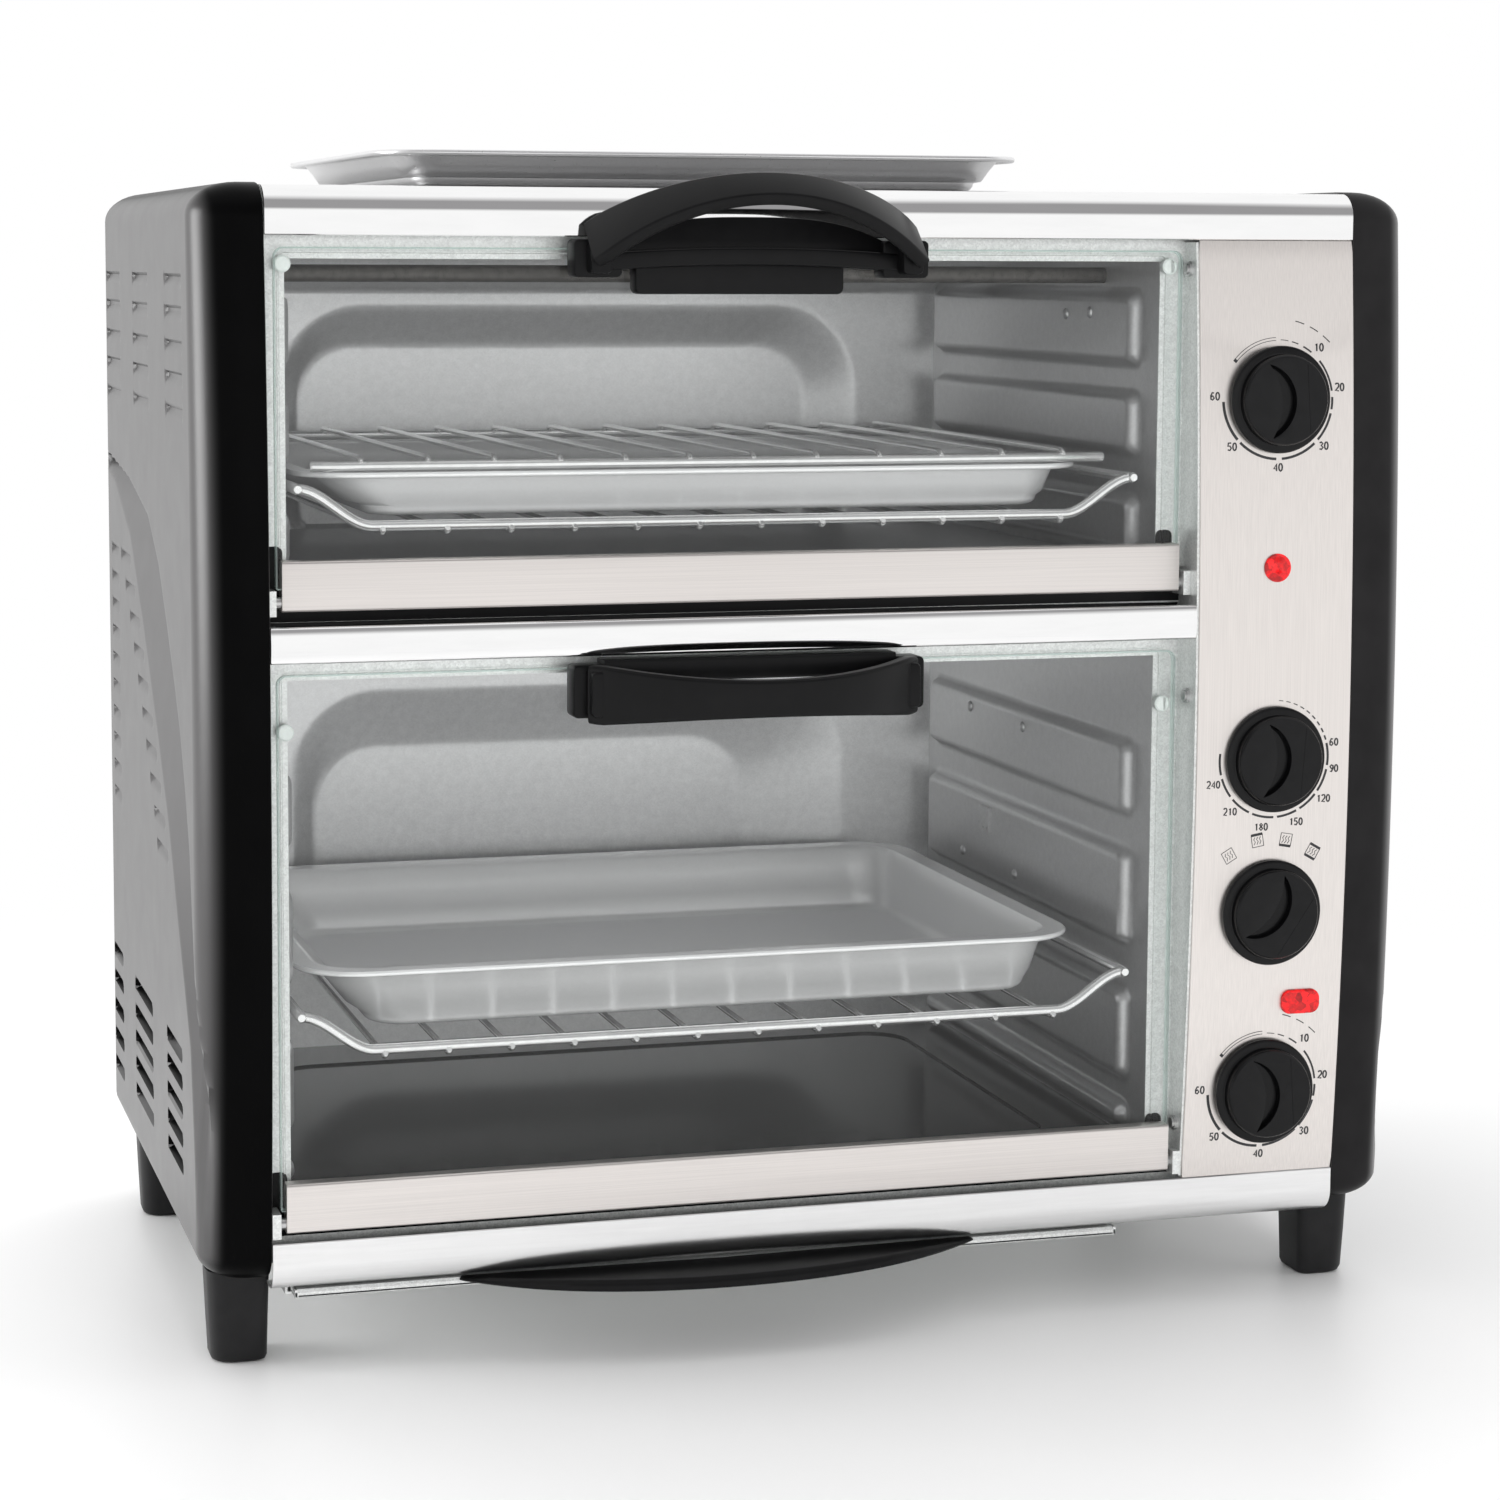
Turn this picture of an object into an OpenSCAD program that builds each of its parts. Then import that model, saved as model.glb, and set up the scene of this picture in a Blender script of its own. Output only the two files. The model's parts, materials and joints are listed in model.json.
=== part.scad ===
// Double-deck toaster oven: two cavities, each with its own drop-down glass door,
// a control column on the right, wire racks, baking trays and a crumb tray.
// X runs across the front, Y runs from front to back, Z is up, and the floor is Z = 0.

/* [Body] */
// Overall width over the side covers
body_w = 515; // [500:1:530]
// Depth from the front plane to the rear edge of the side covers
body_d = 302; // [295:1:320]
// Height of the top of the case above the floor
body_top = 472; // [471:0.5:474]
// Height of the underside of the case above the floor
body_bottom = 38; // [36:0.5:40]
// Thickness of each hollow side cover
cover_w = 28; // [26:1:30]
// Wall thickness of the side covers
cover_wall = 2; // [1.5:0.1:3]
// How far the front bows forward at mid height
front_bow = 8; // [6:0.5:10]
// Radius of the rounded front edge of each side cover
cover_front_r = 20; // [10:1:22]
// Radius of the other outer edges of each side cover
cover_edge_r = 12; // [6:1:14]

/* [Front] */
// Lower edge of the chrome strip along the top
top_trim_z = 452; // [450:0.5:454]
// Upper edge of the chrome strip along the bottom
bottom_trim_z = 55; // [53:0.5:57]
// Left edge of the control panel
panel_x = 159.6; // [159:0.1:160]
// Depth of the sheet-steel front frame behind the front plane
frame_y = 12; // [11.5:0.1:13]
// Lower and upper edges of the middle chrome strip
mid_trim_z = [286.5, 301]; // [280:0.5:305]

/* [Doors] */
// Height of the upper door's hinge axis
upper_hinge_z = 309.5; // [309:0.1:311]
// Height of the lower door's hinge axis
lower_hinge_z = 62; // [61:0.1:63]
// Top edge of the upper door glass
upper_glass_top = 447.5; // [445:0.5:449]
// Top edge of the lower door glass
lower_glass_top = 281; // [278:0.5:283]
// Thickness of the door glass
glass_t = 4; // [3:0.5:4]
// Height of the metal strip along the foot of each door
strip_h = 20; // [16:1:21]
// Radius of the hinge pins
pin_r = 2.5; // [2:0.1:2.8]

/* [Handles] */
// Half the length of a door handle
handle_half = 69; // [60:1:72]
// How far the handle's bow stands out from its ends
handle_bow = 30; // [26:1:31]
// Thickness of the handle's bowed band
handle_t = 5; // [4:0.5:6]
// Upward tilt of the upper door's handle, in degrees
upper_handle_tilt = 50; // [40:1:52]

/* [Racks and trays] */
// Radius of the rack's frame wire
frame_wire_r = 2.2; // [2:0.1:2.4]
// Radius of the cross wires
cross_wire_r = 1.3; // [1:0.1:1.5]
// Number of cross wires on a rack
cross_wires = 12; // [8:1:14]
// Sheet thickness of the trays
tray_t = 0.9; // [0.8:0.1:1.2]

/* [Controls] */
// Radius of a knob's skirt
knob_r = 22.5; // [20:0.5:23]
// Height of a knob above its base
knob_h = 7.5; // [7:0.5:10]
// Heights of the upper timer, thermostat, function and lower timer knobs
knob_z = [386, 235, 169.6, 92]; // [80:0.1:400]
// Turn of each knob's finger recess at rest, in degrees
knob_turn = [4, -4, -34, 4]; // [-90:1:90]

/* [Hidden] */
$fn = 64;
eps = 0.01;
half_w = body_w / 2;
inner_x = half_w - cover_w;

// The row's origin is below the middle of the whole object.
gland_len = 8;
handle_reach = 14 + handle_bow;
origin_y = (body_d - 1 + gland_len - handle_reach) / 2;

// The bowed front is an arc of a large circle seen from the side.
bow_mid = (top_trim_z + bottom_trim_z) / 2;
bow_half = (top_trim_z - bottom_trim_z) / 2;
bow_r = (bow_half * bow_half + front_bow * front_bow) / (2 * front_bow);
function bow_y(z) = bow_r - front_bow - sqrt(bow_r * bow_r - pow(z - bow_mid, 2));
function toward_mid(z, d) = abs(z - bow_mid) <= d ? bow_mid : z + (z < bow_mid ? d : -d);
function knob_base_y(z) = bow_y(toward_mid(z, knob_r)) - 0.6;

// Cavities
cav_l = -220;
cav_r = 147.5;
cav_back = 286;
upper_cav = [316, 443];
lower_cav = [67, 278];
sheet = 1;

// Doors
door_l = -225.5;
door_r = 154;
strip_l = -223.5;
glass_y = 3;
hinge_y = 5;
strip_y = [1.4, 8.6];
strip_y_half = (strip_y[1] - strip_y[0]) / 2;
door_mid = (door_l + door_r) / 2;
running_gap = 0.05;

// Racks: a level side rod on each side and a centre that drops between them
rack_x = [-214, 140.5];
rack_low_x = [-187, 113];
rack_y = [20, 280];
upper_rack_z = 352.6;
lower_rack_z = 141.2;
rack_drop = 15;
rail_gap = 0.3;
cross_x = [-180, 108];

control_x = (panel_x + inner_x) / 2;
lamp_z = 315.7;
lower_lamp_pos = [210.3, 130];
shaft_r = 3;
recess_depth = 4;
shaft_bore = 2.7;
crumb_x = [-220, 132];
crumb_z = 34.4;
foot_x = half_w - 17.5;
foot_y = [37, 259];

module placed() {
    translate([0, -origin_y, 0])
        children();
}

// A flat outline in the Y-Z plane, drawn along X from x0 to x1
module along_x(x0, x1) {
    translate([x0, 0, 0])
        rotate([90, 0, 90])
            linear_extrude(x1 - x0)
                children();
}

// A flat outline in the X-Z plane, drawn along Y from y0 to y1
module along_y(y0, y1) {
    translate([0, y1, 0])
        rotate([90, 0, 0])
            linear_extrude(y1 - y0)
                children();
}

module block(x, y, z) {
    translate([x[0], y[0], z[0]])
        cube([x[1] - x[0], y[1] - y[0], z[1] - z[0]]);
}

// A rectangle with a radius for each corner, from the lower left one round to the right
module round_rect(lo, hi, r) {
    corners = [[lo[0], lo[1], 1, 1], [hi[0], lo[1], -1, 1],
        [hi[0], hi[1], -1, -1], [lo[0], hi[1], 1, -1]];
    difference() {
        translate(lo)
            square([hi[0] - lo[0], hi[1] - lo[1]]);
        for (i = [0 : 3])
            if (r[i] > 0)
                corner_cut(corners[i], r[i]);
    }
}

module corner_cut(c, r) {
    difference() {
        translate([c[0] + (c[2] > 0 ? -1 : -r), c[1] + (c[3] > 0 ? -1 : -r)])
            square(r + 1);
        translate([c[0] + c[2] * r, c[1] + c[3] * r])
            circle(r);
    }
}

module bowed_area(inset) {
    translate([bow_r - front_bow, bow_mid])
        circle(bow_r - inset, $fn = 360);
}

// ---- Case ----

// Solid form of the left cover, shrunk all round by inset
module cover_form(inset) {
    r = cover_edge_r - inset;
    z0 = body_bottom + inset;
    z1 = body_top + 0.5 - inset;
    open = inset > 0 ? 5 : 0;
    intersection() {
        along_x(-half_w - 1, -inner_x + open)
            intersection() {
                round_rect([-front_bow - 1, z0], [body_d - inset, z1], [r + 6, r, r, r + 6]);
                bowed_area(inset);
            }
        translate([0, 0, -1])
            linear_extrude(body_top + 10)
                round_rect([-half_w + inset, -front_bow - 1 + inset],
                    [-inner_x + open, body_d - inset],
                    [cover_front_r - inset, 0, 0, 6 - inset]);
        along_y(-20, body_d + 20)
            round_rect([-half_w + inset, z0], [-inner_x + open, z1], [r, 0, 0, r]);
    }
}

module vent_slots(y0, y1, z0, z1, rows) {
    for (i = [0 : rows - 1])
        block([-half_w - 1, -half_w + 6], [y0, y1],
            [z0 + (z1 - z0) * i / (rows - 1) - 1, z0 + (z1 - z0) * i / (rows - 1) + 1]);
}

module cover_vents() {
    vent_slots(226, 279, 384, 435, 5);
    vent_slots(132, 182, 384, 435, 5);
    vent_slots(27, 80, 384, 435, 5);
    vent_slots(246, 283, 66, 120, 5);
    vent_slots(142, 201, 69, 119, 5);
    vent_slots(42, 94, 73, 121, 5);
}

module side_cover() {
    difference() {
        cover_form(0);
        cover_form(cover_wall);
        cover_vents();
    }
}

module left_side_cover() {
    color("dimgray")
        placed()
            side_cover();
}

module right_side_cover() {
    color("dimgray")
        placed()
            mirror([1, 0, 0])
                side_cover();
}

module top_panel() {
    color("silver")
        placed()
            block([-inner_x, inner_x], [12, body_d - 2], [body_top - 1.5, body_top - 0.5]);
}

module back_panel() {
    color("darkgray")
        placed()
            difference() {
                block([-inner_x + eps, inner_x - eps], [body_d - 2, body_d - 1],
                    [body_bottom + 8, body_top - 9]);
                for (x = [-180 : 60 : 120], i = [0 : 5])
                    block([x, x + 40], [body_d - 4, body_d], [380 + i * 10, 383 + i * 10]);
                translate([190, body_d, 84])
                    rotate([90, 0, 0])
                        cylinder(h = 6, r = 6);
            }
}

module base_pan() {
    y = [frame_y + 3, body_d - 10];
    lip_top = crumb_z - 3 - rail_gap;
    color("darkgray")
        placed() {
            block([-inner_x + eps, inner_x - eps], [frame_y + 1, body_d - 2], [44, 45]);
            block([crumb_x[0] - 2.3, crumb_x[0] - 1.3], y, [lip_top - 1, 44]);
            block([crumb_x[1] + 1.3, crumb_x[1] + 2.3], y, [lip_top - 1, 44]);
            block([crumb_x[0] - 2.3, crumb_x[0] + 5], y, [lip_top - 1, lip_top]);
            block([crumb_x[1] - 5, crumb_x[1] + 2.3], y, [lip_top - 1, lip_top]);
        }
}

module front_frame() {
    color("gainsboro")
        placed()
            difference() {
                union() {
                    block([-inner_x + eps, inner_x - eps], [frame_y, frame_y + sheet], [46, body_top - 2]);
                    along_x(panel_x - 1, panel_x)
                        intersection() {
                            round_rect([-front_bow - 1, bottom_trim_z + 1],
                                [frame_y + eps, top_trim_z - 1], [0, 0, 0, 0]);
                            bowed_area(1.3);
                        }
                }
                for (z = [upper_cav, lower_cav])
                    block([cav_l, cav_r], [0, 20], z);
                for (z = knob_z)
                    translate([control_x, 20, z])
                        rotate([90, 0, 0])
                            cylinder(h = 20, r = 5.2);
                lamp_holes(0.2);
            }
}

module lamp_holes(gap) {
    translate([control_x, 25, lamp_z])
        rotate([90, 0, 0])
            cylinder(h = 45, r = 6 + gap);
    along_y(-20, 25)
        round_rect([lower_lamp_pos[0] - 8.7 - gap, lower_lamp_pos[1] - 5.2 - gap],
            [lower_lamp_pos[0] + 8.7 + gap, lower_lamp_pos[1] + 5.2 + gap],
            [4, 4, 4, 4]);
}

// ---- Cavity linings ----

module side_liner(x, dir) {
    block([min(x, x - dir), max(x, x - dir)], [frame_y + 1, cav_back], [lower_cav[0] - 3, 444.5]);
    for (z = [upper_rack_z, 395, 245, 200, lower_rack_z, 88])
        block([min(x, x + 6 * dir), max(x, x + 6 * dir)], [26, cav_back - 8],
            [z - frame_wire_r - rail_gap - 3, z - frame_wire_r - rail_gap]);
}

module left_liner() {
    color("darkgray")
        placed()
            side_liner(cav_l, 1);
}

module right_liner() {
    color("darkgray")
        placed()
            difference() {
                side_liner(cav_r, -1);
                translate([cav_r - 5, 190.5, 180.4])
                    rotate([0, 90, 0])
                        cylinder(h = 12, r = 3);
            }
}

module back_liner() {
    color("darkgray")
        placed()
            difference() {
                block([cav_l - 1, cav_r + 1], [cav_back, cav_back + 8], [lower_cav[0] - 3, 444.5]);
                for (z = [[322, 421], [102, 238]])
                    along_y(cav_back - 1, cav_back + 7)
                        round_rect([-182, z[0]], [109, z[1]], [34, 34, 34, 34]);
            }
}

module ceiling_liner() {
    color("darkgray")
        placed()
            block([cav_l + eps, cav_r - eps], [frame_y + 1, cav_back - eps], [443, 444]);
}

module divider_liner() {
    color("darkgray")
        placed() {
            block([cav_l + eps, cav_r - eps], [frame_y + 1, cav_back - eps], [315, 316]);
            block([cav_l + eps, cav_r - eps], [frame_y + 1, cav_back - eps], [284, 285]);
            block([cav_l + eps, cav_r - eps], [frame_y + 1, frame_y + 2], [284.5, 315.5]);
        }
}

module floor_liner() {
    color("black")
        placed()
            difference() {
                block([cav_l + eps, cav_r - eps], [frame_y + 1, cav_back - eps], [64, 67]);
                translate([0, 0, 66])
                    linear_extrude(3)
                        round_rect([-190, 40], [118, 250], [20, 20, 20, 20]);
            }
}

// A pair of heating rods across a cavity
module heater_pair(z) {
    for (y = [72, 218])
        translate([cav_l + eps, y, z])
            rotate([0, 90, 0])
                cylinder(h = cav_r - cav_l - 2 * eps, r = 3.4);
}

module upper_heaters() {
    color("darkslategray")
        placed() {
            heater_pair(437);
            heater_pair(300);
        }
}

module lower_heaters() {
    color("darkslategray")
        placed() {
            heater_pair(276.5);
            heater_pair(54.5);
        }
}

// ---- Chrome strips and the control panel ----

module top_trim() {
    r = body_top - 0.5 - 461;
    color("white")
        placed()
            along_x(-inner_x + 0.1, inner_x - 0.1)
                difference() {
                    round_rect([0, top_trim_z], [frame_y - eps, body_top - 0.5], [0, 0, 0, r]);
                    round_rect([1, top_trim_z - 1], [frame_y + 1, body_top - 1.5], [0, 0, 0, r - 1]);
                }
}

module middle_trim() {
    y0 = -front_bow;
    color("white")
        placed()
            along_x(-inner_x + 0.1, panel_x - 1.2)
                difference() {
                    round_rect([y0, mid_trim_z[0]], [frame_y - eps, mid_trim_z[1]], [2, 0, 0, 2]);
                    round_rect([y0 + 1, mid_trim_z[0] + 1], [frame_y + 1, mid_trim_z[1] - 1], [1, 0, 0, 1]);
                }
}

module bottom_trim() {
    r = 10;
    z = body_bottom - 3;
    color("white")
        placed()
            along_x(-inner_x + 0.1, inner_x - 0.1)
                difference() {
                    round_rect([0, z], [frame_y + 5, bottom_trim_z], [r, 0, 0, 0]);
                    round_rect([1, z + 1], [frame_y + 6, bottom_trim_z + 1], [r - 1, 0, 0, 0]);
                }
}

module control_panel() {
    color("rosybrown")
        placed()
            difference() {
                along_x(panel_x, inner_x - 0.1)
                    intersection() {
                        round_rect([-front_bow - 1, bottom_trim_z + 0.2],
                            [frame_y - 3, top_trim_z - 0.2], [0, 0, 0, 0]);
                        difference() {
                            bowed_area(0);
                            bowed_area(1.2);
                        }
                    }
                for (z = knob_z)
                    translate([control_x, 20, z])
                        rotate([90, 0, 0])
                            cylinder(h = 40, r = 5.2);
                lamp_holes(0.2);
            }
}

// A lamp lens standing 1.5 mm out of the panel
module upper_lamp() {
    color("red")
        placed()
            translate([control_x, frame_y + 12, lamp_z])
                rotate([90, 0, 0])
                    cylinder(h = frame_y + 12 - bow_y(lamp_z) + 1.5, r = 6);
}

module lower_lamp() {
    color("red")
        placed()
            along_y(bow_y(lower_lamp_pos[1]) - 1.8, frame_y + 12)
                round_rect([lower_lamp_pos[0] - 8.7, lower_lamp_pos[1] - 5.2],
                    [lower_lamp_pos[0] + 8.7, lower_lamp_pos[1] + 5.2], [4, 4, 4, 4]);
}

// ---- Controls behind the panel ----

// A switch body fixed behind the front frame, with a neck that guides its shaft
module switch_body(z, size, round) {
    y0 = frame_y + sheet;
    difference() {
        union() {
            if (round)
                translate([control_x, y0 + size[1], z])
                    rotate([90, 0, 0])
                        cylinder(h = size[1], r = size[0] / 2);
            else
                block([control_x - size[0] / 2, control_x + size[0] / 2],
                    [y0, y0 + size[1]], [z - size[2] / 2, z + size[2] / 2]);
            translate([control_x, y0 + eps, z])
                rotate([90, 0, 0])
                    cylinder(h = y0 - bow_y(z) - 0.2, r = 5);
        }
        translate([control_x, y0 + 14, z])
            rotate([90, 0, 0])
                cylinder(h = 60, r = shaft_r + running_gap);
    }
}

module upper_timer() {
    color("gainsboro")
        placed()
            switch_body(knob_z[0], [44, 30, 50], false);
}

module thermostat() {
    color("silver")
        placed()
            switch_body(knob_z[1], [36, 24, 36], true);
}

module function_switch() {
    color("saddlebrown")
        placed()
            switch_body(knob_z[2], [34, 34, 40], false);
}

module lower_timer() {
    color("gainsboro")
        placed()
            switch_body(knob_z[3], [44, 30, 50], false);
}

module knob_shaft(z) {
    translate([control_x, frame_y + 12, z])
        rotate([90, 0, 0])
            cylinder(h = frame_y + 12 - knob_base_y(z) + shaft_bore, r = shaft_r);
}

// A round knob with a skirt and a crescent finger recess, turned about its own axis
module knob(z, turn) {
    translate([control_x, knob_base_y(z), z])
        rotate([90, 0, 0])
            rotate([0, 0, turn])
                difference() {
                    union() {
                        cylinder(h = 2.2, r = knob_r);
                        cylinder(h = knob_h, r = knob_r - 3.5);
                    }
                    translate([0, 0, knob_h - recess_depth])
                        linear_extrude(10)
                            difference() {
                                translate([-12, 0])
                                    circle(16.2);
                                translate([-28.8, 0])
                                    circle(26.4);
                            }
                    translate([0, 0, -1])
                        cylinder(h = 1 + shaft_bore, r = shaft_r);
                }
}

module knob_node(i) {
    color("black")
        placed()
            knob(knob_z[i], knob_turn[i]);
}

module shaft_node(i) {
    color("silver")
        placed()
            knob_shaft(knob_z[i]);
}

module upper_timer_knob() {
    knob_node(0);
}

module thermostat_knob() {
    knob_node(1);
}

module function_knob() {
    knob_node(2);
}

module lower_timer_knob() {
    knob_node(3);
}

module upper_timer_shaft() {
    shaft_node(0);
}

module thermostat_shaft() {
    shaft_node(1);
}

module function_shaft() {
    shaft_node(2);
}

module lower_timer_shaft() {
    shaft_node(3);
}

module thermostat_probe() {
    color("silver")
        placed() {
            block([cav_r - 7, cav_r - eps], [184.5, 196.5], [174.4, 186.4]);
            translate([cav_r - 4, 190.5, 180.4])
                rotate([0, 90, 0])
                    cylinder(h = 30, r = 3);
        }
}

// ---- Feet and fasteners ----

// Each foot is wider at the top and leans out to the case's corner
module foot(side, y) {
    x = side * foot_x;
    color("black")
        placed()
            hull() {
                translate([x, y, 0])
                    cylinder(h = 3, r = 10, $fn = 32);
                translate([x - side, y - 1, body_bottom - 1])
                    cylinder(h = 1 - eps, r = 13, $fn = 32);
            }
}

module front_left_foot() {
    foot(-1, foot_y[0]);
}

module front_right_foot() {
    foot(1, foot_y[0]);
}

module rear_left_foot() {
    foot(-1, foot_y[1]);
}

module rear_right_foot() {
    foot(1, foot_y[1]);
}

module pan_head(r) {
    cylinder(h = 1.2, r = r);
    cylinder(h = 2, r = r * 0.7);
}

module case_screws() {
    color("silver")
        placed() {
            for (p = [[7, 440], [1.5, 262], [6, 78]])
                translate([panel_x - 1, p[0], p[1]])
                    rotate([0, -90, 0])
                        pan_head(3.2);
            for (x = [-222, 222], z = [60, 160, 260, 360, 450])
                translate([x, body_d - 1, z])
                    rotate([-90, 0, 0])
                        pan_head(3.5);
        }
}

module cord_gland() {
    color("black")
        placed()
            translate([190, body_d - 3, 84])
                rotate([-90, 0, 0])
                    difference() {
                        union() {
                            cylinder(h = 2 + gland_len, r = 6);
                            translate([0, 0, 2])
                                cylinder(h = 3, r = 10);
                        }
                        translate([0, 0, -1])
                            cylinder(h = 20, r = 3.8);
                    }
}

// ---- Doors ----

module hinge_lug(x, z) {
    difference() {
        block(x, [hinge_y - 5, frame_y - eps], [z - 5, z + 5]);
        translate([x[0] - 1, hinge_y, z])
            rotate([0, 90, 0])
                cylinder(h = x[1] - x[0] + 2, r = pin_r + running_gap);
    }
}

module hinge_brackets() {
    color("gainsboro")
        placed()
            for (z = [upper_hinge_z, lower_hinge_z]) {
                hinge_lug([-inner_x + 0.1, -inner_x + 3.6], z);
                hinge_lug([door_r + 1.4, panel_x - 1.05], z);
            }
}

module door_glass(hinge_z, top_z) {
    color("lightcyan", 0.3)
        placed()
            along_y(glass_y, glass_y + glass_t)
                round_rect([door_l, hinge_z + 5], [door_r, top_z], [0, 0, 3, 3]);
}

module door_strip(hinge_z) {
    color("rosybrown")
        placed()
            difference() {
                block([strip_l, door_r], strip_y, [hinge_z - strip_y_half, hinge_z - strip_y_half + strip_h]);
                block([strip_l - 1, door_r + 1], [glass_y, glass_y + glass_t], [hinge_z + 5, hinge_z + 40]);
                translate([strip_l - 1, hinge_y, hinge_z])
                    rotate([0, 90, 0])
                        cylinder(h = 400, r = pin_r);
            }
}

module door_pins(hinge_z) {
    color("silver")
        placed() {
            translate([-inner_x + 0.4, hinge_y, hinge_z])
                rotate([0, 90, 0])
                    cylinder(h = 20, r = pin_r);
            translate([panel_x - 1.4 - 20, hinge_y, hinge_z])
                rotate([0, 90, 0])
                    cylinder(h = 20, r = pin_r);
        }
}

module door_bumpers(z) {
    color("whitesmoke")
        placed()
            for (x = [door_l + 4, door_r - 4])
                translate([x, frame_y - 0.1, z])
                    rotate([90, 0, 0])
                        cylinder(h = frame_y - 0.1 - glass_y - glass_t, r = 3.4);
}

// The handle's bowed band, in its own frame: the bow runs towards -Y
module band() {
    r = (handle_half * handle_half + handle_bow * handle_bow) / (2 * handle_bow);
    intersection() {
        translate([0, 0, -15])
            linear_extrude(30)
                intersection() {
                    difference() {
                        translate([0, r - handle_bow])
                            circle(r, $fn = 180);
                        translate([0, r - handle_bow])
                            circle(r - handle_t, $fn = 180);
                    }
                    translate([-handle_half, -handle_bow - 1])
                        square([2 * handle_half, handle_bow + 1]);
                }
        along_y(-handle_bow - 2, 10)
            difference() {
                translate([-handle_half - 1, -12])
                    square([2 * handle_half + 2, 24]);
                for (s = [-1, 1])
                    translate([0, s * 487.5])
                        circle(480, $fn = 360);
            }
    }
}

module handle_grip(z, tilt) {
    color("black")
        placed()
            translate([door_mid, -14, z])
                rotate([-tilt, 0, 0])
                    band();
}

module handle_base(z, height, end_z) {
    color("black")
        placed()
            union() {
                block([door_mid - handle_half, door_mid + handle_half], [glass_y - 10, glass_y],
                    [z, z + height]);
                for (s = [-1, 1])
                    block([door_mid + s * (handle_half - 6) - 6, door_mid + s * (handle_half - 6) + 6],
                        [-13, glass_y - 5], [end_z - 6, end_z + 6]);
            }
}

upper_grip_z = 450;
lower_grip_z = 272;

module upper_door_glass() {
    door_glass(upper_hinge_z, upper_glass_top);
}

module upper_door_strip() {
    door_strip(upper_hinge_z);
}

module upper_door_pins() {
    door_pins(upper_hinge_z);
}

module upper_door_bumpers() {
    door_bumpers(441);
}

// The upper handle's base has a low wall behind the grip, in front of the top trim
module upper_handle_base() {
    handle_base(432, 14, 445);
    color("black")
        placed()
            hull() {
                block([door_mid - 62, door_mid + 62], [-5, -1.5], [440, 450]);
                block([door_mid - 36, door_mid + 36], [-5, -1.5], [458, 460]);
            }
}

module upper_handle_grip() {
    handle_grip(upper_grip_z, upper_handle_tilt);
}

module lower_door_glass() {
    door_glass(lower_hinge_z, lower_glass_top);
}

module lower_door_strip() {
    door_strip(lower_hinge_z);
}

module lower_door_pins() {
    door_pins(lower_hinge_z);
}

module lower_door_bumpers() {
    door_bumpers(258);
}

module lower_handle_base() {
    handle_base(264, 17, lower_grip_z);
}

module lower_handle_grip() {
    handle_grip(lower_grip_z, 0);
}

// ---- Racks and trays ----

module wire(a, b, r) {
    d = b - a;
    len = norm(d);
    translate(a)
        rotate([0, acos(d[2] / len), atan2(d[1], d[0])])
            cylinder(h = len, r = r, $fn = 24);
}

module wire_path(pts, r) {
    for (i = [0 : len(pts) - 2])
        wire(pts[i], pts[i + 1], r);
    for (i = [1 : len(pts) - 2])
        translate(pts[i])
            sphere(r + 0.06, $fn = 24);
}

module rack(z) {
    low = z - rack_drop;
    color("silver")
        placed()
            union() {
                for (y = rack_y)
                    wire_path([[rack_x[0], y, z], [rack_low_x[0], y, low],
                        [rack_low_x[1], y, low], [rack_x[1], y, z]], frame_wire_r);
                for (x = rack_x)
                    wire([x, rack_y[0] - 2, z], [x, rack_y[1] + 2, z], frame_wire_r);
                for (i = [0 : cross_wires - 1]) {
                    x = cross_x[0] + (cross_x[1] - cross_x[0]) * i / (cross_wires - 1);
                    wire([x, rack_y[0] - 1.5, low - 2.6], [x, rack_y[1] + 1.5, low - 2.6], cross_wire_r);
                }
            }
}

module grill_insert() {
    z = 361;
    color("silver")
        placed()
            union() {
                for (y = [30, 272])
                    wire([-208, y, z], [131, y, z], frame_wire_r);
                for (i = [0 : 11])
                    wire([-187 + i * 27.2, 28.5, z + 3], [-187 + i * 27.2, 273.5, z + 3], cross_wire_r);
            }
}

// A flat rounded sheet of thickness t, from the corner lo to the corner hi
module sheet_plate(lo, hi, z, t, r) {
    translate([0, 0, z])
        linear_extrude(t)
            round_rect(lo, hi, [r, r, r, r]);
}

// The tapered body of a tray, from its base up to its rim
module tray_form(base_lo, base_hi, top_lo, top_hi, z0, z1, r) {
    hull() {
        sheet_plate(base_lo, base_hi, z0, 0.01, r * 0.7, $fn = 32);
        sheet_plate(top_lo, top_hi, z1, 0.01, r, $fn = 32);
    }
}

// A pressed tray with a flat rim and sloping walls; x and y are the rim's limits
module tray(x, y, base_x, base_y, z, height, rim, r) {
    t = tray_t;
    top_lo = [x[0] + rim, y[0] + rim];
    top_hi = [x[1] - rim, y[1] - rim];
    base_lo = [base_x[0], base_y[0]];
    base_hi = [base_x[1], base_y[1]];
    difference() {
        union() {
            tray_form(base_lo, base_hi, top_lo, top_hi, z, z + height - 0.5 * t, r);
            sheet_plate([x[0], y[0]], [x[1], y[1]], z + height - t, t, r + rim);
        }
        tray_form(base_lo + [t, t], base_hi - [t, t], top_lo + [t, t], top_hi - [t, t],
            z + t, z + height + 0.1, r - t);
    }
}

module upper_rack() {
    rack(upper_rack_z);
}

module lower_rack() {
    rack(lower_rack_z);
}

module upper_tray() {
    color("gainsboro")
        placed()
            tray([-212, 124], [25, 275], [-183, 110], [42, 258],
                upper_rack_z - rack_drop + frame_wire_r + 0.1, 18.8, 8, 20);
}

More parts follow.
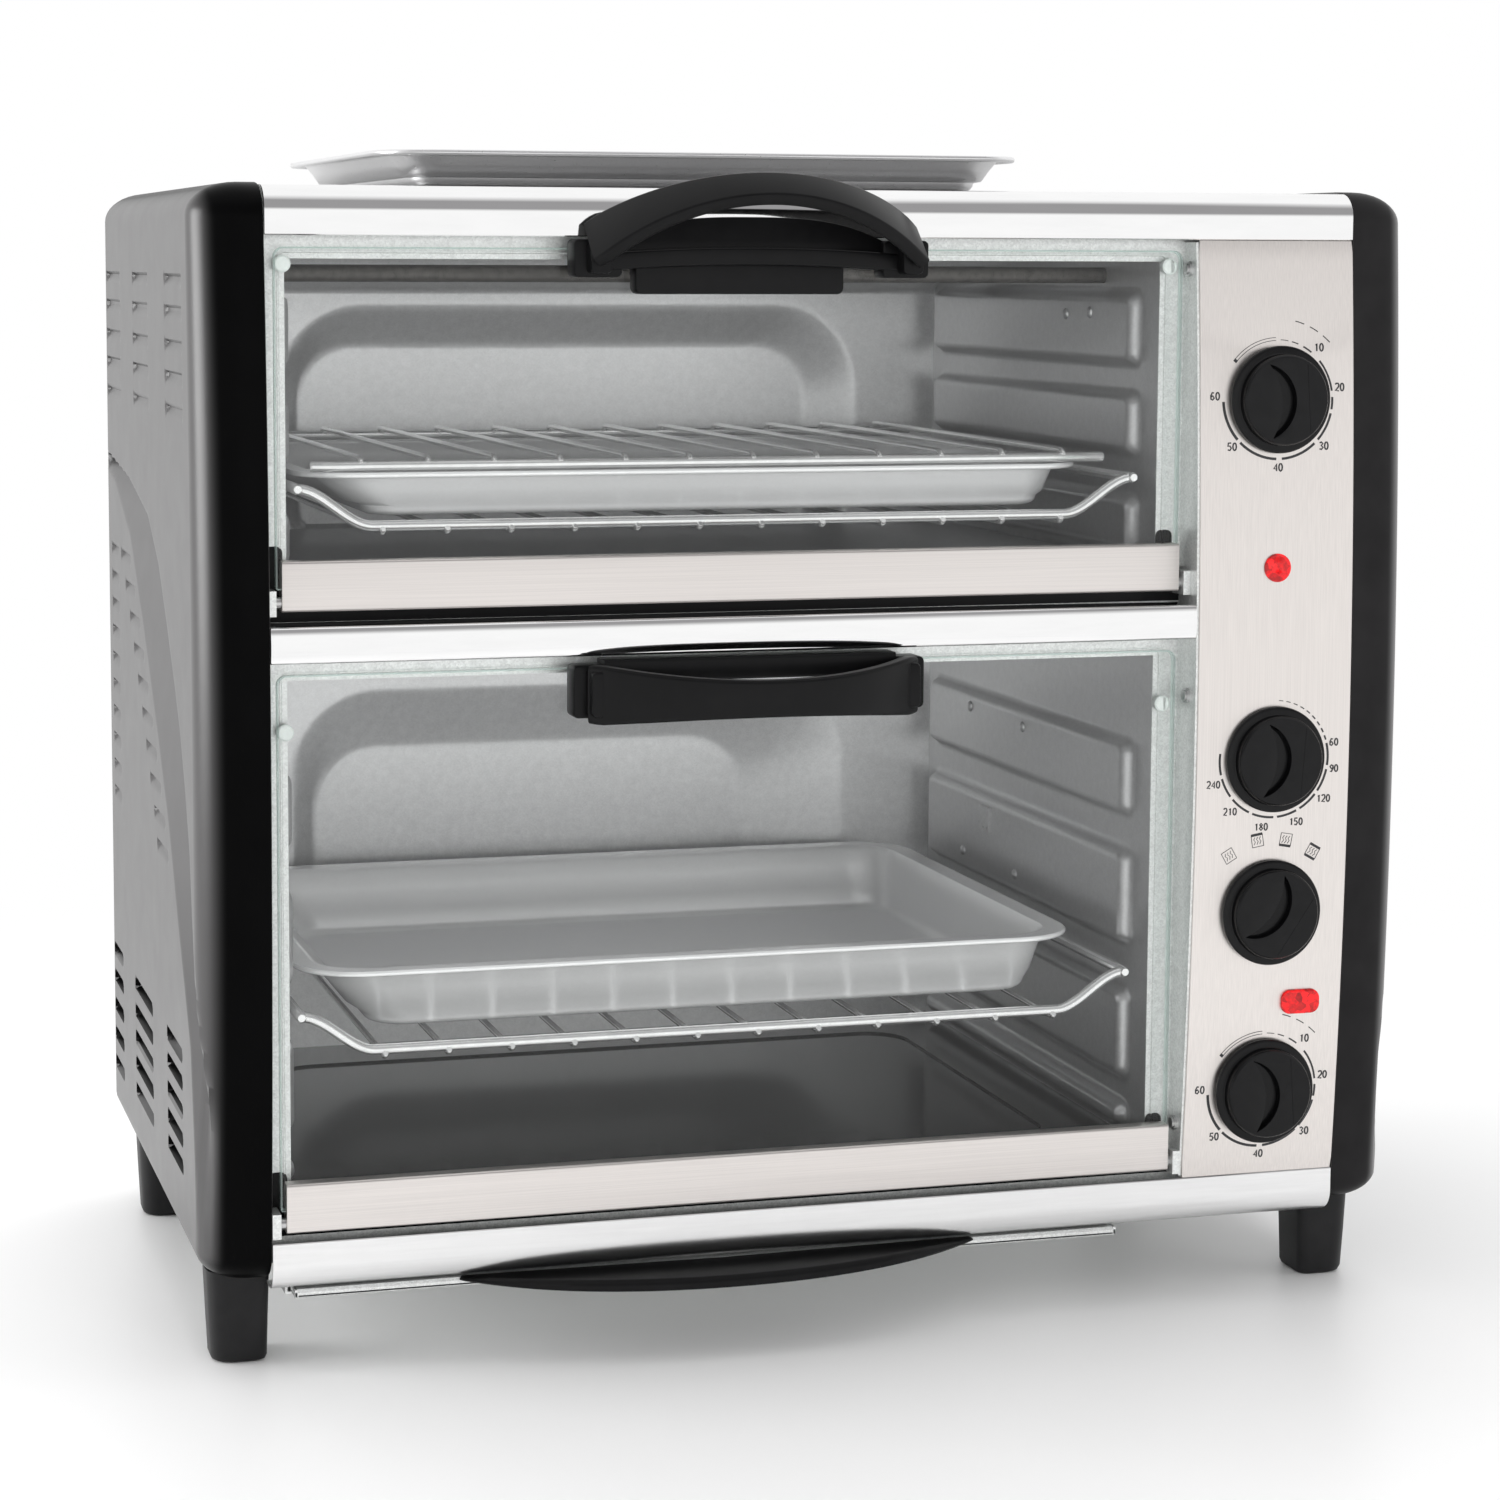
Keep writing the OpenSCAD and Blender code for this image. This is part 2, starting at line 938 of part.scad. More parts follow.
module lower_tray() {
    color("gainsboro")
        placed()
            tray([-212.5, 124.5], [25, 275], [-181, 111], [50, 250],
                lower_rack_z - rack_drop + frame_wire_r + 0.1, 29, 9, 30);
}

module top_tray() {
    color("gainsboro")
        placed()
            tray([-176, 101], [40, 285], [-160, 85], [56, 269], body_top - 0.2, 15, 7, 24);
}

module crumb_tray() {
    color("gainsboro")
        placed()
            difference() {
                union() {
                    block(crumb_x, [5, body_d - 22], [crumb_z - 3, crumb_z]);
                    block(crumb_x, [5, 6], [31, crumb_z]);
                }
                block([crumb_x[0] + 8, crumb_x[1] - 8], [18, body_d - 30], [crumb_z - 2, crumb_z + 1]);
            }
}

module crumb_handle() {
    color("black")
        placed()
            translate([0, 0, 29.6])
                linear_extrude(5)
                    intersection() {
                        translate([door_mid - 7, 217.2])
                            circle(239.2, $fn = 240);
                        translate([-200, -60])
                            square([400, 65]);
                    }
}

left_side_cover();
right_side_cover();
top_panel();
back_panel();
base_pan();
front_frame();
left_liner();
right_liner();
back_liner();
ceiling_liner();
divider_liner();
floor_liner();
top_trim();
middle_trim();
bottom_trim();
control_panel();
front_left_foot();
front_right_foot();
rear_left_foot();
rear_right_foot();
upper_heaters();
lower_heaters();
upper_timer();
thermostat();
function_switch();
lower_timer();
upper_lamp();
lower_lamp();
thermostat_probe();
hinge_brackets();
case_screws();
cord_gland();
upper_door_glass();
upper_door_strip();
upper_door_pins();
upper_door_bumpers();
upper_handle_base();
upper_handle_grip();
lower_door_glass();
lower_door_strip();
lower_door_pins();
lower_door_bumpers();
lower_handle_base();
lower_handle_grip();
upper_timer_knob();
upper_timer_shaft();
thermostat_knob();
thermostat_shaft();
function_knob();
function_shaft();
lower_timer_knob();
lower_timer_shaft();
upper_rack();
grill_insert();
upper_tray();
lower_rack();
lower_tray();
top_tray();
crumb_tray();
crumb_handle();
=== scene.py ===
import bpy
import bmesh
import json
import math
import numpy as np
from mathutils import Matrix, Vector

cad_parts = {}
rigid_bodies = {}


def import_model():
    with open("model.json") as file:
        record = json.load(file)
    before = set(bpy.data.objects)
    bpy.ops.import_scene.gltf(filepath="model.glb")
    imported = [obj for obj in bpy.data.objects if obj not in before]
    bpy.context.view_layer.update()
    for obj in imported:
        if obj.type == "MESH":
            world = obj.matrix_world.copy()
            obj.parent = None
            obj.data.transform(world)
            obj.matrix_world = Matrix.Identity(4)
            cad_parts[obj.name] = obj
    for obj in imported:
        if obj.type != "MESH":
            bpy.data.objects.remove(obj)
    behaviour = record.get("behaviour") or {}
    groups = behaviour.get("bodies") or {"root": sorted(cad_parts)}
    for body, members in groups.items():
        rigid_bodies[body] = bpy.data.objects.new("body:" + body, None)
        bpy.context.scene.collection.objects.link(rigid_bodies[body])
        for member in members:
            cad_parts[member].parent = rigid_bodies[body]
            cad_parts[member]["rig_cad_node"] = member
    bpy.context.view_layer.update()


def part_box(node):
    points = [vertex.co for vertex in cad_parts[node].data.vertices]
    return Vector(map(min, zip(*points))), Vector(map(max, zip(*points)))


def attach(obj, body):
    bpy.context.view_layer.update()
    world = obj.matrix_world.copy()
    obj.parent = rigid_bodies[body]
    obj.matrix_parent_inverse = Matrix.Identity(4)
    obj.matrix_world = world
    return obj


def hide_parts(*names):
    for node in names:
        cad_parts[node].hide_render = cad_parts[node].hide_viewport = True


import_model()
Y0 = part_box("top_trim")[0].y
PI = math.pi


def BX(n):
    lo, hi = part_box(n)
    return [(lo.x * 1000, hi.x * 1000), ((lo.y - Y0) * 1000, (hi.y - Y0) * 1000), (lo.z * 1000, hi.z * 1000)]


# ---------------------------------------------------------------- mesh helpers
class Mesh:
    def __init__(s):
        s.v, s.f, s.m = [], [], []

    def add(s, verts, faces, m=0):
        o = len(s.v)
        s.v += [(p[0] / 1000, p[1] / 1000 + Y0, p[2] / 1000) for p in verts]
        s.f += [tuple(i + o for i in f) for f in faces]
        s.m += [m] * len(faces)

    def grid(s, P, m=0, cu=False, cv=False):
        a, b = len(P), len(P[0])
        v = [p for row in P for p in row]
        f = []
        for i in range(a if cu else a - 1):
            for j in range(b if cv else b - 1):
                k, l = (i + 1) % a, (j + 1) % b
                f.append((i * b + j, i * b + l, k * b + l, k * b + j))
        s.add(v, f, m)

    def loft(s, loops, m=0, cap0=True, cap1=True):
        n = len(loops[0])
        s.grid(loops, m, cv=True)
        if cap0:
            s.add(loops[0], [tuple(range(n))[::-1]], m)
        if cap1:
            s.add(loops[-1], [tuple(range(n))], m)

    def slab(s, loop, fn, a, b, bev=0.3, m=0, steps=2):
        def ring(t, end, sign):
            edge = inset(loop, bev * (1 - math.sin(t)))
            return [fn(p[0], p[1], end + sign * bev * (1 - math.cos(t))) for p in edge]
        first = [ring(t, a, 1) for t in np.linspace(0, PI / 2, steps + 1)]
        last = [ring(t, b, -1) for t in np.linspace(PI / 2, 0, steps + 1)]
        s.loft(first + last, m)

    def lathe(s, prof, c, axis, n=48, m=0, capa=True, capb=True):
        ax = Vector(axis).normalized()
        u = ax.orthogonal().normalized()
        w = ax.cross(u)
        c = Vector(c)
        L = [[c + ax * h + (u * math.cos(2 * PI * i / n) + w * math.sin(2 * PI * i / n)) * r for i in range(n)]
             for r, h in prof]
        s.loft(L, m, capa, capb)

    def tube(s, pts, r, n=12, m=0, closed=False):
        P = [Vector(p) for p in pts]
        k = len(P)
        T = []
        for i in range(k):
            a = P[(i - 1) % k] if closed or i else P[0]
            b = P[(i + 1) % k] if closed or i < k - 1 else P[-1]
            T.append((b - a).normalized())
        u = T[0].orthogonal().normalized()
        L = []
        for i in range(k):
            u = (u - T[i] * u.dot(T[i])).normalized()
            w = T[i].cross(u)
            L.append([P[i] + (u * math.cos(2 * PI * j / n) + w * math.sin(2 * PI * j / n)) * r
                      for j in range(n)])
        if closed:
            s.grid(L, m, cu=True, cv=True)
        else:
            e = r * 0.35
            A = [P[0] - T[0] * e + (q - P[0]) * 0.7 for q in L[0]]
            B = [P[-1] + T[-1] * e + (q - P[-1]) * 0.7 for q in L[-1]]
            s.loft([A] + L + [B], m)

    def box(s, x, y, z, bev=0.3, m=0):
        loop = rrect(x[0], z[0], x[1], z[1], max(bev, 0.05), 2)
        s.slab(loop, lambda a, b, c: (a, c, b), y[0], y[1], bev, m)

    def make(s, name, body, mats, slot, rep=(), angle=35):
        me = bpy.data.meshes.new(name)
        me.from_pydata([tuple(v) for v in s.v], [], s.f)
        for mt in mats:
            me.materials.append(mt)
        me.polygons.foreach_set("material_index", s.m)
        bm = bmesh.new()
        bm.from_mesh(me)
        bmesh.ops.remove_doubles(bm, verts=bm.verts, dist=2e-6)
        bmesh.ops.dissolve_degenerate(bm, edges=bm.edges, dist=1e-7)
        bmesh.ops.recalc_face_normals(bm, faces=bm.faces)
        bm.to_mesh(me)
        bm.free()
        ob = bpy.data.objects.new(name, me)
        bpy.context.collection.objects.link(ob)
        finish_piece(ob, body, rep, angle)
        return ob


def finish_piece(ob, body, rep=(), angle=35):
    me = ob.data
    me.polygons.foreach_set("use_smooth", [True] * len(me.polygons))
    me.set_sharp_from_angle(angle=math.radians(angle))
    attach(ob, body)
    if rep:
        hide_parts(*rep)


def rrect(x0, y0, x1, y1, r, n=6):
    rs = r if isinstance(r, (list, tuple)) else [r] * 4
    out = []
    corners = [(x0, y0, PI, rs[0]), (x1, y0, 1.5 * PI, rs[1]), (x1, y1, 0, rs[2]), (x0, y1, PI / 2, rs[3])]
    for k, (cx, cy, a, q) in enumerate(corners):
        sx = 1 if k in (0, 3) else -1
        sy = 1 if k in (0, 1) else -1
        for i in range(n + 1):
            t = a + PI / 2 * i / n
            out.append((cx + sx * q + q * math.cos(t), cy + sy * q + q * math.sin(t)))
    return out


def inset(loop, d):
    if d <= 1e-9:
        return list(loop)
    n = len(loop)
    out = []
    for i in range(n):
        a, b, c = loop[i - 1], loop[i], loop[(i + 1) % n]
        u = (b[0] - a[0], b[1] - a[1])
        w = (c[0] - b[0], c[1] - b[1])
        lu = math.hypot(*u) or 1e-9
        lw = math.hypot(*w) or 1e-9
        nx = -(u[1] / lu + w[1] / lw)
        ny = u[0] / lu + w[0] / lw
        l = math.hypot(nx, ny) or 1e-9
        nx, ny = nx / l, ny / l
        k = max(0.5, nx * -u[1] / lu + ny * u[0] / lu)
        out.append((b[0] + nx * d / k, b[1] + ny * d / k))
    return out


def smooth(t):
    t = np.clip(t, 0, 1)
    return t * t * (3 - 2 * t)


def arc(c, r, a0, a1, n):
    return [(c[0] + r * math.cos(a0 + (a1 - a0) * i / n), c[1] + r * math.sin(a0 + (a1 - a0) * i / n))
            for i in range(n + 1)]


def fillet(pts, r, n=6):
    P = [Vector(p) for p in pts]
    out = [P[0]]
    for i in range(1, len(P) - 1):
        a, b, c = P[i - 1], P[i], P[i + 1]
        u, w = (a - b).normalized(), (c - b).normalized()
        ang = u.angle(w)
        if ang > PI - 0.02:
            out.append(b)
            continue
        d = min(r / math.tan(ang / 2), (a - b).length * 0.48, (c - b).length * 0.48)
        rr = d * math.tan(ang / 2)
        cen = b + (u + w).normalized() * rr / math.sin(ang / 2)
        s, e = b + u * d, b + w * d
        for k in range(n + 1):
            q = (s - cen).normalized().slerp((e - cen).normalized(), k / n)
            out.append(cen + q * rr)
    out.append(P[-1])
    return out


# ---------------------------------------------------------------- materials
def material(name, base, metal=0.0, rough=0.4, scale=(90, 90, 90), amt=0.06, ramt=0.05, bump=0.0, bscale=None,
             spec=0.5, detail=4, coat=0.0, speck=0.0, speck_scale=900, aniso=0.0, emit=None):
    m = bpy.data.materials.new(name)
    m.use_nodes = True
    nt = m.node_tree
    N, L = nt.nodes, nt.links
    b = N["Principled BSDF"]
    b.inputs["Metallic"].default_value = metal
    b.inputs["Specular IOR Level"].default_value = spec
    b.inputs["Coat Weight"].default_value = coat
    b.inputs["Anisotropic"].default_value = aniso
    tc = N.new("ShaderNodeTexCoord")
    mp = N.new("ShaderNodeMapping")
    mp.inputs["Scale"].default_value = scale
    L.new(tc.outputs["Object"], mp.inputs["Vector"])
    nz = N.new("ShaderNodeTexNoise")
    nz.inputs["Scale"].default_value = 1.0
    nz.inputs["Detail"].default_value = detail
    L.new(mp.outputs["Vector"], nz.inputs["Vector"])
    cr = N.new("ShaderNodeValToRGB")
    cr.color_ramp.elements[0].position = 0.3
    cr.color_ramp.elements[1].position = 0.7
    cr.color_ramp.elements[0].color = (*[c * (1 - amt) for c in base], 1)
    cr.color_ramp.elements[1].color = (*[min(1, c * (1 + amt)) for c in base], 1)
    L.new(nz.outputs["Fac"], cr.inputs["Fac"])
    col = cr.outputs["Color"]
    if speck:
        vo = N.new("ShaderNodeTexVoronoi")
        vo.inputs["Scale"].default_value = speck_scale
        L.new(tc.outputs["Object"], vo.inputs["Vector"])
        sr = N.new("ShaderNodeMapRange")
        sr.inputs["From Min"].default_value = 0.0
        sr.inputs["From Max"].default_value = 1.0
        sr.inputs["To Min"].default_value = 1 - speck
        sr.inputs["To Max"].default_value = 1 + speck
        sp = N.new("ShaderNodeSeparateColor")
        L.new(vo.outputs["Color"], sp.inputs["Color"])
        L.new(sp.outputs["Red"], sr.inputs["Value"])
        mx = N.new("ShaderNodeVectorMath")
        mx.operation = "SCALE"
        L.new(col, mx.inputs[0])
        L.new(sr.outputs["Result"], mx.inputs["Scale"])
        col = mx.outputs["Vector"]
    L.new(col, b.inputs["Base Color"])
    mr = N.new("ShaderNodeMapRange")
    mr.inputs["To Min"].default_value = max(0, rough - ramt)
    mr.inputs["To Max"].default_value = min(1, rough + ramt)
    L.new(nz.outputs["Fac"], mr.inputs["Value"])
    L.new(mr.outputs["Result"], b.inputs["Roughness"])
    if bump:
        bz = N.new("ShaderNodeTexNoise")
        bz.inputs["Detail"].default_value = 3
        if bscale:
            m2 = N.new("ShaderNodeMapping")
            m2.inputs["Scale"].default_value = bscale
            L.new(tc.outputs["Object"], m2.inputs["Vector"])
            L.new(m2.outputs["Vector"], bz.inputs["Vector"])
            bz.inputs["Scale"].default_value = 1.0
        else:
            bz.inputs["Scale"].default_value = 1500
            L.new(tc.outputs["Object"], bz.inputs["Vector"])
        bp = N.new("ShaderNodeBump")
        bp.inputs["Strength"].default_value = bump
        bp.inputs["Distance"].default_value = 0.0002
        L.new(bz.outputs["Fac"], bp.inputs["Height"])
        L.new(bp.outputs["Normal"], b.inputs["Normal"])
    if emit:
        L.new(col, b.inputs["Emission Color"])
        b.inputs["Emission Strength"].default_value = emit
    return m


def glass_material(name, tint, edge=0.0):
    m = bpy.data.materials.new(name)
    m.use_nodes = True
    nt = m.node_tree
    N, L = nt.nodes, nt.links
    N.clear()
    out = N.new("ShaderNodeOutputMaterial")
    tr = N.new("ShaderNodeBsdfTransparent")
    gl = N.new("ShaderNodeBsdfGlossy")
    gl.inputs["Roughness"].default_value = 0.02
    lw = N.new("ShaderNodeLayerWeight")
    lw.inputs["Blend"].default_value = 0.5
    pw = N.new("ShaderNodeMath")
    pw.operation = "POWER"
    pw.inputs[1].default_value = 5
    fr = N.new("ShaderNodeMath")
    fr.operation = "MULTIPLY_ADD"
    fr.inputs[1].default_value = 0.98
    fr.inputs[2].default_value = 0.018
    L.new(lw.outputs["Facing"], pw.inputs[0])
    L.new(pw.outputs[0], fr.inputs[0])
    tc = N.new("ShaderNodeTexCoord")
    nz = N.new("ShaderNodeTexNoise")
    nz.inputs["Scale"].default_value = 14
    L.new(tc.outputs["Object"], nz.inputs["Vector"])
    cr = N.new("ShaderNodeValToRGB")
    cr.color_ramp.elements[0].color = (*[c * 0.985 for c in tint], 1)
    cr.color_ramp.elements[1].color = (*tint, 1)
    L.new(nz.outputs["Fac"], cr.inputs["Fac"])
    L.new(cr.outputs["Color"], tr.inputs["Color"])
    mx = N.new("ShaderNodeMixShader")
    if edge:
        df = N.new("ShaderNodeBsdfDiffuse")
        df.inputs["Color"].default_value = (0.62, 0.72, 0.69, 1)
        m0 = N.new("ShaderNodeMixShader")
        m0.inputs["Fac"].default_value = edge
        L.new(tr.outputs[0], m0.inputs[1])
        L.new(df.outputs[0], m0.inputs[2])
        L.new(m0.outputs[0], mx.inputs[1])
    else:
        L.new(tr.outputs[0], mx.inputs[1])
    L.new(fr.outputs[0], mx.inputs["Fac"])
    L.new(gl.outputs[0], mx.inputs[2])
    L.new(mx.outputs[0], out.inputs["Surface"])
    return m


COVER = material("cover_black", (0.0016, 0.0016, 0.0017), 0, 0.32, (60, 60, 60), 0.12, 0.03, 0.08, spec=0.1)
# painted light: the right cover is the same black plastic as the left cover, given a ten times lighter base colour
# for how it is lit
COVER_R_PAINTED_LIGHT = material("cover_black_right_painted_light", (0.0165, 0.016, 0.0165), 0, 0.34, (60, 60, 60), 0.12, 0.03, 0.08, spec=0.12)
BLACK = material("handle_black", (0.0035, 0.0035, 0.0038), 0, 0.34, (120, 120, 120), 0.15, 0.04, 0.15, spec=0.17)
KNOB = material("knob_black", (0.004, 0.004, 0.0044), 0, 0.24, (200, 200, 200), 0.2, 0.03, 0.04, spec=0.22)
FOOT = material("foot_black", (0.008, 0.008, 0.0085), 0, 0.45, (150, 150, 150), 0.2, 0.05, 0.25, spec=0.25)
SATIN = material("satin_chrome", (0.9, 0.9, 0.9), 1, 0.3, (30, 600, 600), 0.03, 0.03, 0.05)
CHROME = material("chrome", (0.93, 0.93, 0.93), 1, 0.06, (30, 200, 200), 0.02, 0.015, 0.0)
PANEL = material("panel_brushed", (0.83, 0.785, 0.755), 1, 0.36, (2600, 2600, 14), 0.05, 0.05, 0.1,
                 (3200, 3200, 20), aniso=0.4)
STRIP = material("strip_brushed", (0.79, 0.75, 0.725), 1, 0.34, (14, 2400, 2400), 0.05, 0.05, 0.1,
                 (20, 3200, 3200), aniso=0.4)
GALV = material("galvanised", (0.74, 0.755, 0.745), 0.7, 0.38, (420, 420, 420), 0.07, 0.06, 0.15, speck=0.1,
                speck_scale=1500)
CAVITY = material("cavity_aluminised", (0.88, 0.88, 0.885), 0.82, 0.34, (260, 260, 260), 0.04, 0.05, 0.08,
                  speck=0.04, speck_scale=1500)
# painted shade: the right cavity wall is the same aluminised sheet as the other walls, given a darker base colour for
# how it is shaded
CAVITY_R_PAINTED_SHADE = material("cavity_right_painted_shade", (0.6, 0.6, 0.605), 0.82, 0.34, (260, 260, 260), 0.04, 0.05, 0.08, speck=0.04,
                    speck_scale=1500)
ENAMEL = material("floor_enamel", (0.012, 0.012, 0.012), 0, 0.12, (60, 60, 60), 0.2, 0.02, 0.0)
TRAY_TOP = material("tray_top_aluminium", (0.82, 0.82, 0.825), 0.95, 0.28, (900, 900, 900), 0.02, 0.015)
TRAY = material("tray_aluminium", (0.9, 0.9, 0.905), 0.45, 0.26, (900, 900, 900), 0.02, 0.015)
WIRE = material("wire_chrome", (0.95, 0.95, 0.95), 0.85, 0.16, (200, 200, 200), 0.04, 0.03, 0.03)
STEEL = material("steel", (0.62, 0.62, 0.62), 1, 0.3, (400, 400, 400), 0.08, 0.08, 0.1)
ZINC = material("zinc_case", (0.6, 0.61, 0.6), 0.9, 0.4, (150, 150, 150), 0.1, 0.08, 0.12, speck=0.1)
SHEET = material("top_sheet", (0.62, 0.62, 0.62), 1, 0.3, (20, 1800, 1800), 0.05, 0.05, 0.1, (25, 2500, 2500))
BACK = material("back_sheet", (0.5, 0.52, 0.51), 0.85, 0.42, (120, 120, 120), 0.1, 0.08, 0.12, speck=0.1,
                speck_scale=500)
HEATER = material("heater_rod", (0.09, 0.085, 0.08), 0.6, 0.5, (300, 300, 300), 0.25, 0.1, 0.3)
PHENOL = material("phenolic", (0.2, 0.1, 0.05), 0, 0.5, (300, 300, 300), 0.2, 0.1, 0.3)
RUBBER = material("clear_rubber", (0.62, 0.66, 0.64), 0, 0.35, (400, 400, 400), 0.06, 0.08, 0.1)
INK = material("dial_ink", (0.02, 0.02, 0.022), 0, 0.5, (900, 900, 900), 0.2, 0.05, 0.1)
LAMP = material("lamp_red", (0.55, 0.004, 0.006), 0, 0.12, (600, 600, 600), 0.35, 0.03, 0.1, speck=0.5,
                speck_scale=330, emit=0.1)
GLASS = glass_material("door_glass", (0.99, 0.995, 0.993))
EDGE = glass_material("door_glass_edge", (0.75, 0.84, 0.81), 0.35)


# painted reflection: a grey base colour and a higher specular level on the faces that look sideways, standing in for
# the light they reflect, and none on the front edge
def paint_side_reflection(m):
    nt = m.node_tree
    N, L = nt.nodes, nt.links
    b = N["Principled BSDF"]
    sp = N.new("ShaderNodeSeparateXYZ")
    L.new(N.new("ShaderNodeNewGeometry").outputs["Normal"], sp.inputs[0])
    ab = N.new("ShaderNodeMath")
    ab.operation = "ABSOLUTE"
    L.new(sp.outputs["X"], ab.inputs[0])
    mr = N.new("ShaderNodeMapRange")
    mr.interpolation_type = "SMOOTHSTEP"
    mr.inputs["From Min"].default_value = 0.45
    mr.inputs["From Max"].default_value = 0.85
    mr.inputs["To Min"].default_value = 0.03
    mr.inputs["To Max"].default_value = 0.6
    L.new(ab.outputs[0], mr.inputs["Value"])
    L.new(mr.outputs["Result"], b.inputs["Specular IOR Level"])
    fac = N.new("ShaderNodeMapRange")
    fac.interpolation_type = "SMOOTHSTEP"
    fac.inputs["From Min"].default_value = 0.5
    fac.inputs["From Max"].default_value = 0.98
    L.new(ab.outputs[0], fac.inputs["Value"])
    mx = N.new("ShaderNodeMix")
    mx.data_type = "RGBA"
    src = b.inputs["Base Color"].links[0].from_socket
    L.new(src, mx.inputs["A"])
    mx.inputs["B"].default_value = (0.040, 0.038, 0.039, 1)
    L.new(fac.outputs["Result"], mx.inputs["Factor"])
    L.new(mx.outputs["Result"], b.inputs["Base Color"])


# both covers get the painted grey reflection on their sideways faces
paint_side_reflection(COVER)
paint_side_reflection(COVER_R_PAINTED_LIGHT)

carried = {"top_panel": SHEET, "back_panel": BACK, "base_pan": GALV, "ceiling_liner": CAVITY, "divider_liner": CAVITY,
           "floor_liner": ENAMEL, "upper_heaters": HEATER, "lower_heaters": HEATER, "upper_timer": ZINC,
           "thermostat": ZINC,
           "function_switch": PHENOL, "lower_timer": ZINC, "thermostat_probe": STEEL, "hinge_brackets": GALV,
           "case_screws": STEEL, "cord_gland": BLACK, "upper_door_pins": STEEL, "lower_door_pins": STEEL,
           "upper_timer_shaft": STEEL, "thermostat_shaft": STEEL, "function_shaft": STEEL, "lower_timer_shaft": STEEL}
for ob in bpy.data.objects:
    if ob.type == "MESH" and ob.get("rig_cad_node") in carried:
        ob.data.materials.clear()
        ob.data.materials.append(carried[ob["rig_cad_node"]])

# ---------------------------------------------------------------- shared sizes
COV = BX("left_side_cover")
W = -COV[0][0]
XIN = -COV[0][1]
ZB, ZT = COV[2]
YR = COV[1][1]
PAN = BX("control_panel")
BOW = 8.0
BZ0, BZ1 = BX("bottom_trim")[2][1], BX("top_trim")[2][0]
BM, BH = (BZ0 + BZ1) / 2, (BZ1 - BZ0) / 2
BR = (BH * BH + BOW * BOW) / (2 * BOW)


def bow(z):
    return BR - BOW - np.sqrt(BR * BR - (z - BM) ** 2)


# ---------------------------------------------------------------- side covers
def relief(y, z):
    k = 1.04
    zc = [40, 60, 131, 171, 211, 245, 285, 321, 342, 352]
    crest = np.array([3, 6, 24, 55, 83, 115, 157, 200, 254, 320]) * k
    yc = np.interp(z, zc, crest)
    zs = [40, 100, 150, 191, 210, 232, 254, 271, 293, 316, 334, 346, 357]
    ys = np.interp(z, zs, np.array([-12, -5, 8, 18, 22, 32, 45, 59, 80, 104, 136, 200, 320]) * k)
    t = np.clip((y - ys) / (yc - ys), 0, 1)
    d = np.minimum(5.6, 0.21 * (yc - ys)) * np.where(t < 0.3, smooth(t / 0.3), (1 - t) / 0.7)
    d = np.where(z > 357, 0, d)

    def louver(d, y0, y1, zz, h=4.6, dep=1.7):
        q = z - zz
        body = np.where(q <= 0, smooth(1 + q / h),
                        smooth(1 - q / 1.2)) * smooth((y - y0) / 2.2) * smooth((y1 - y) / 2.2)
        return np.maximum(d, d + dep * body)

    def slot(d, y0, y1, zz, hh=2.2, dep=3.4):
        c = np.clip(y, y0 + hh, y1 - hh)
        r = np.hypot(y - c, z - zz)
        return d + dep * smooth((hh + 0.6 - r) / 1.2)
    for i in range(5):
        for a, b in ((28, 83), (137, 190), (236, 289)):
            d = louver(d, a, b, 436 - 13.1 * i)
        for a, b, z0, z1 in ((256, 289, 120, 66), (148, 209, 119, 71), (52, 99, 121, 74)):
            d = slot(d, a, b, z0 + (z1 - z0) * i / 4)
    for i in range(10):
        zz = 311 - 12.6 * i
        d = louver(d, 252, 280, zz, 4.2, 1.5)
        y0 = float(np.interp(zz, zc, crest)) + 12
        d = louver(d, y0, min(y0 + 36, 246), zz, 4.2, 1.5)
    return d


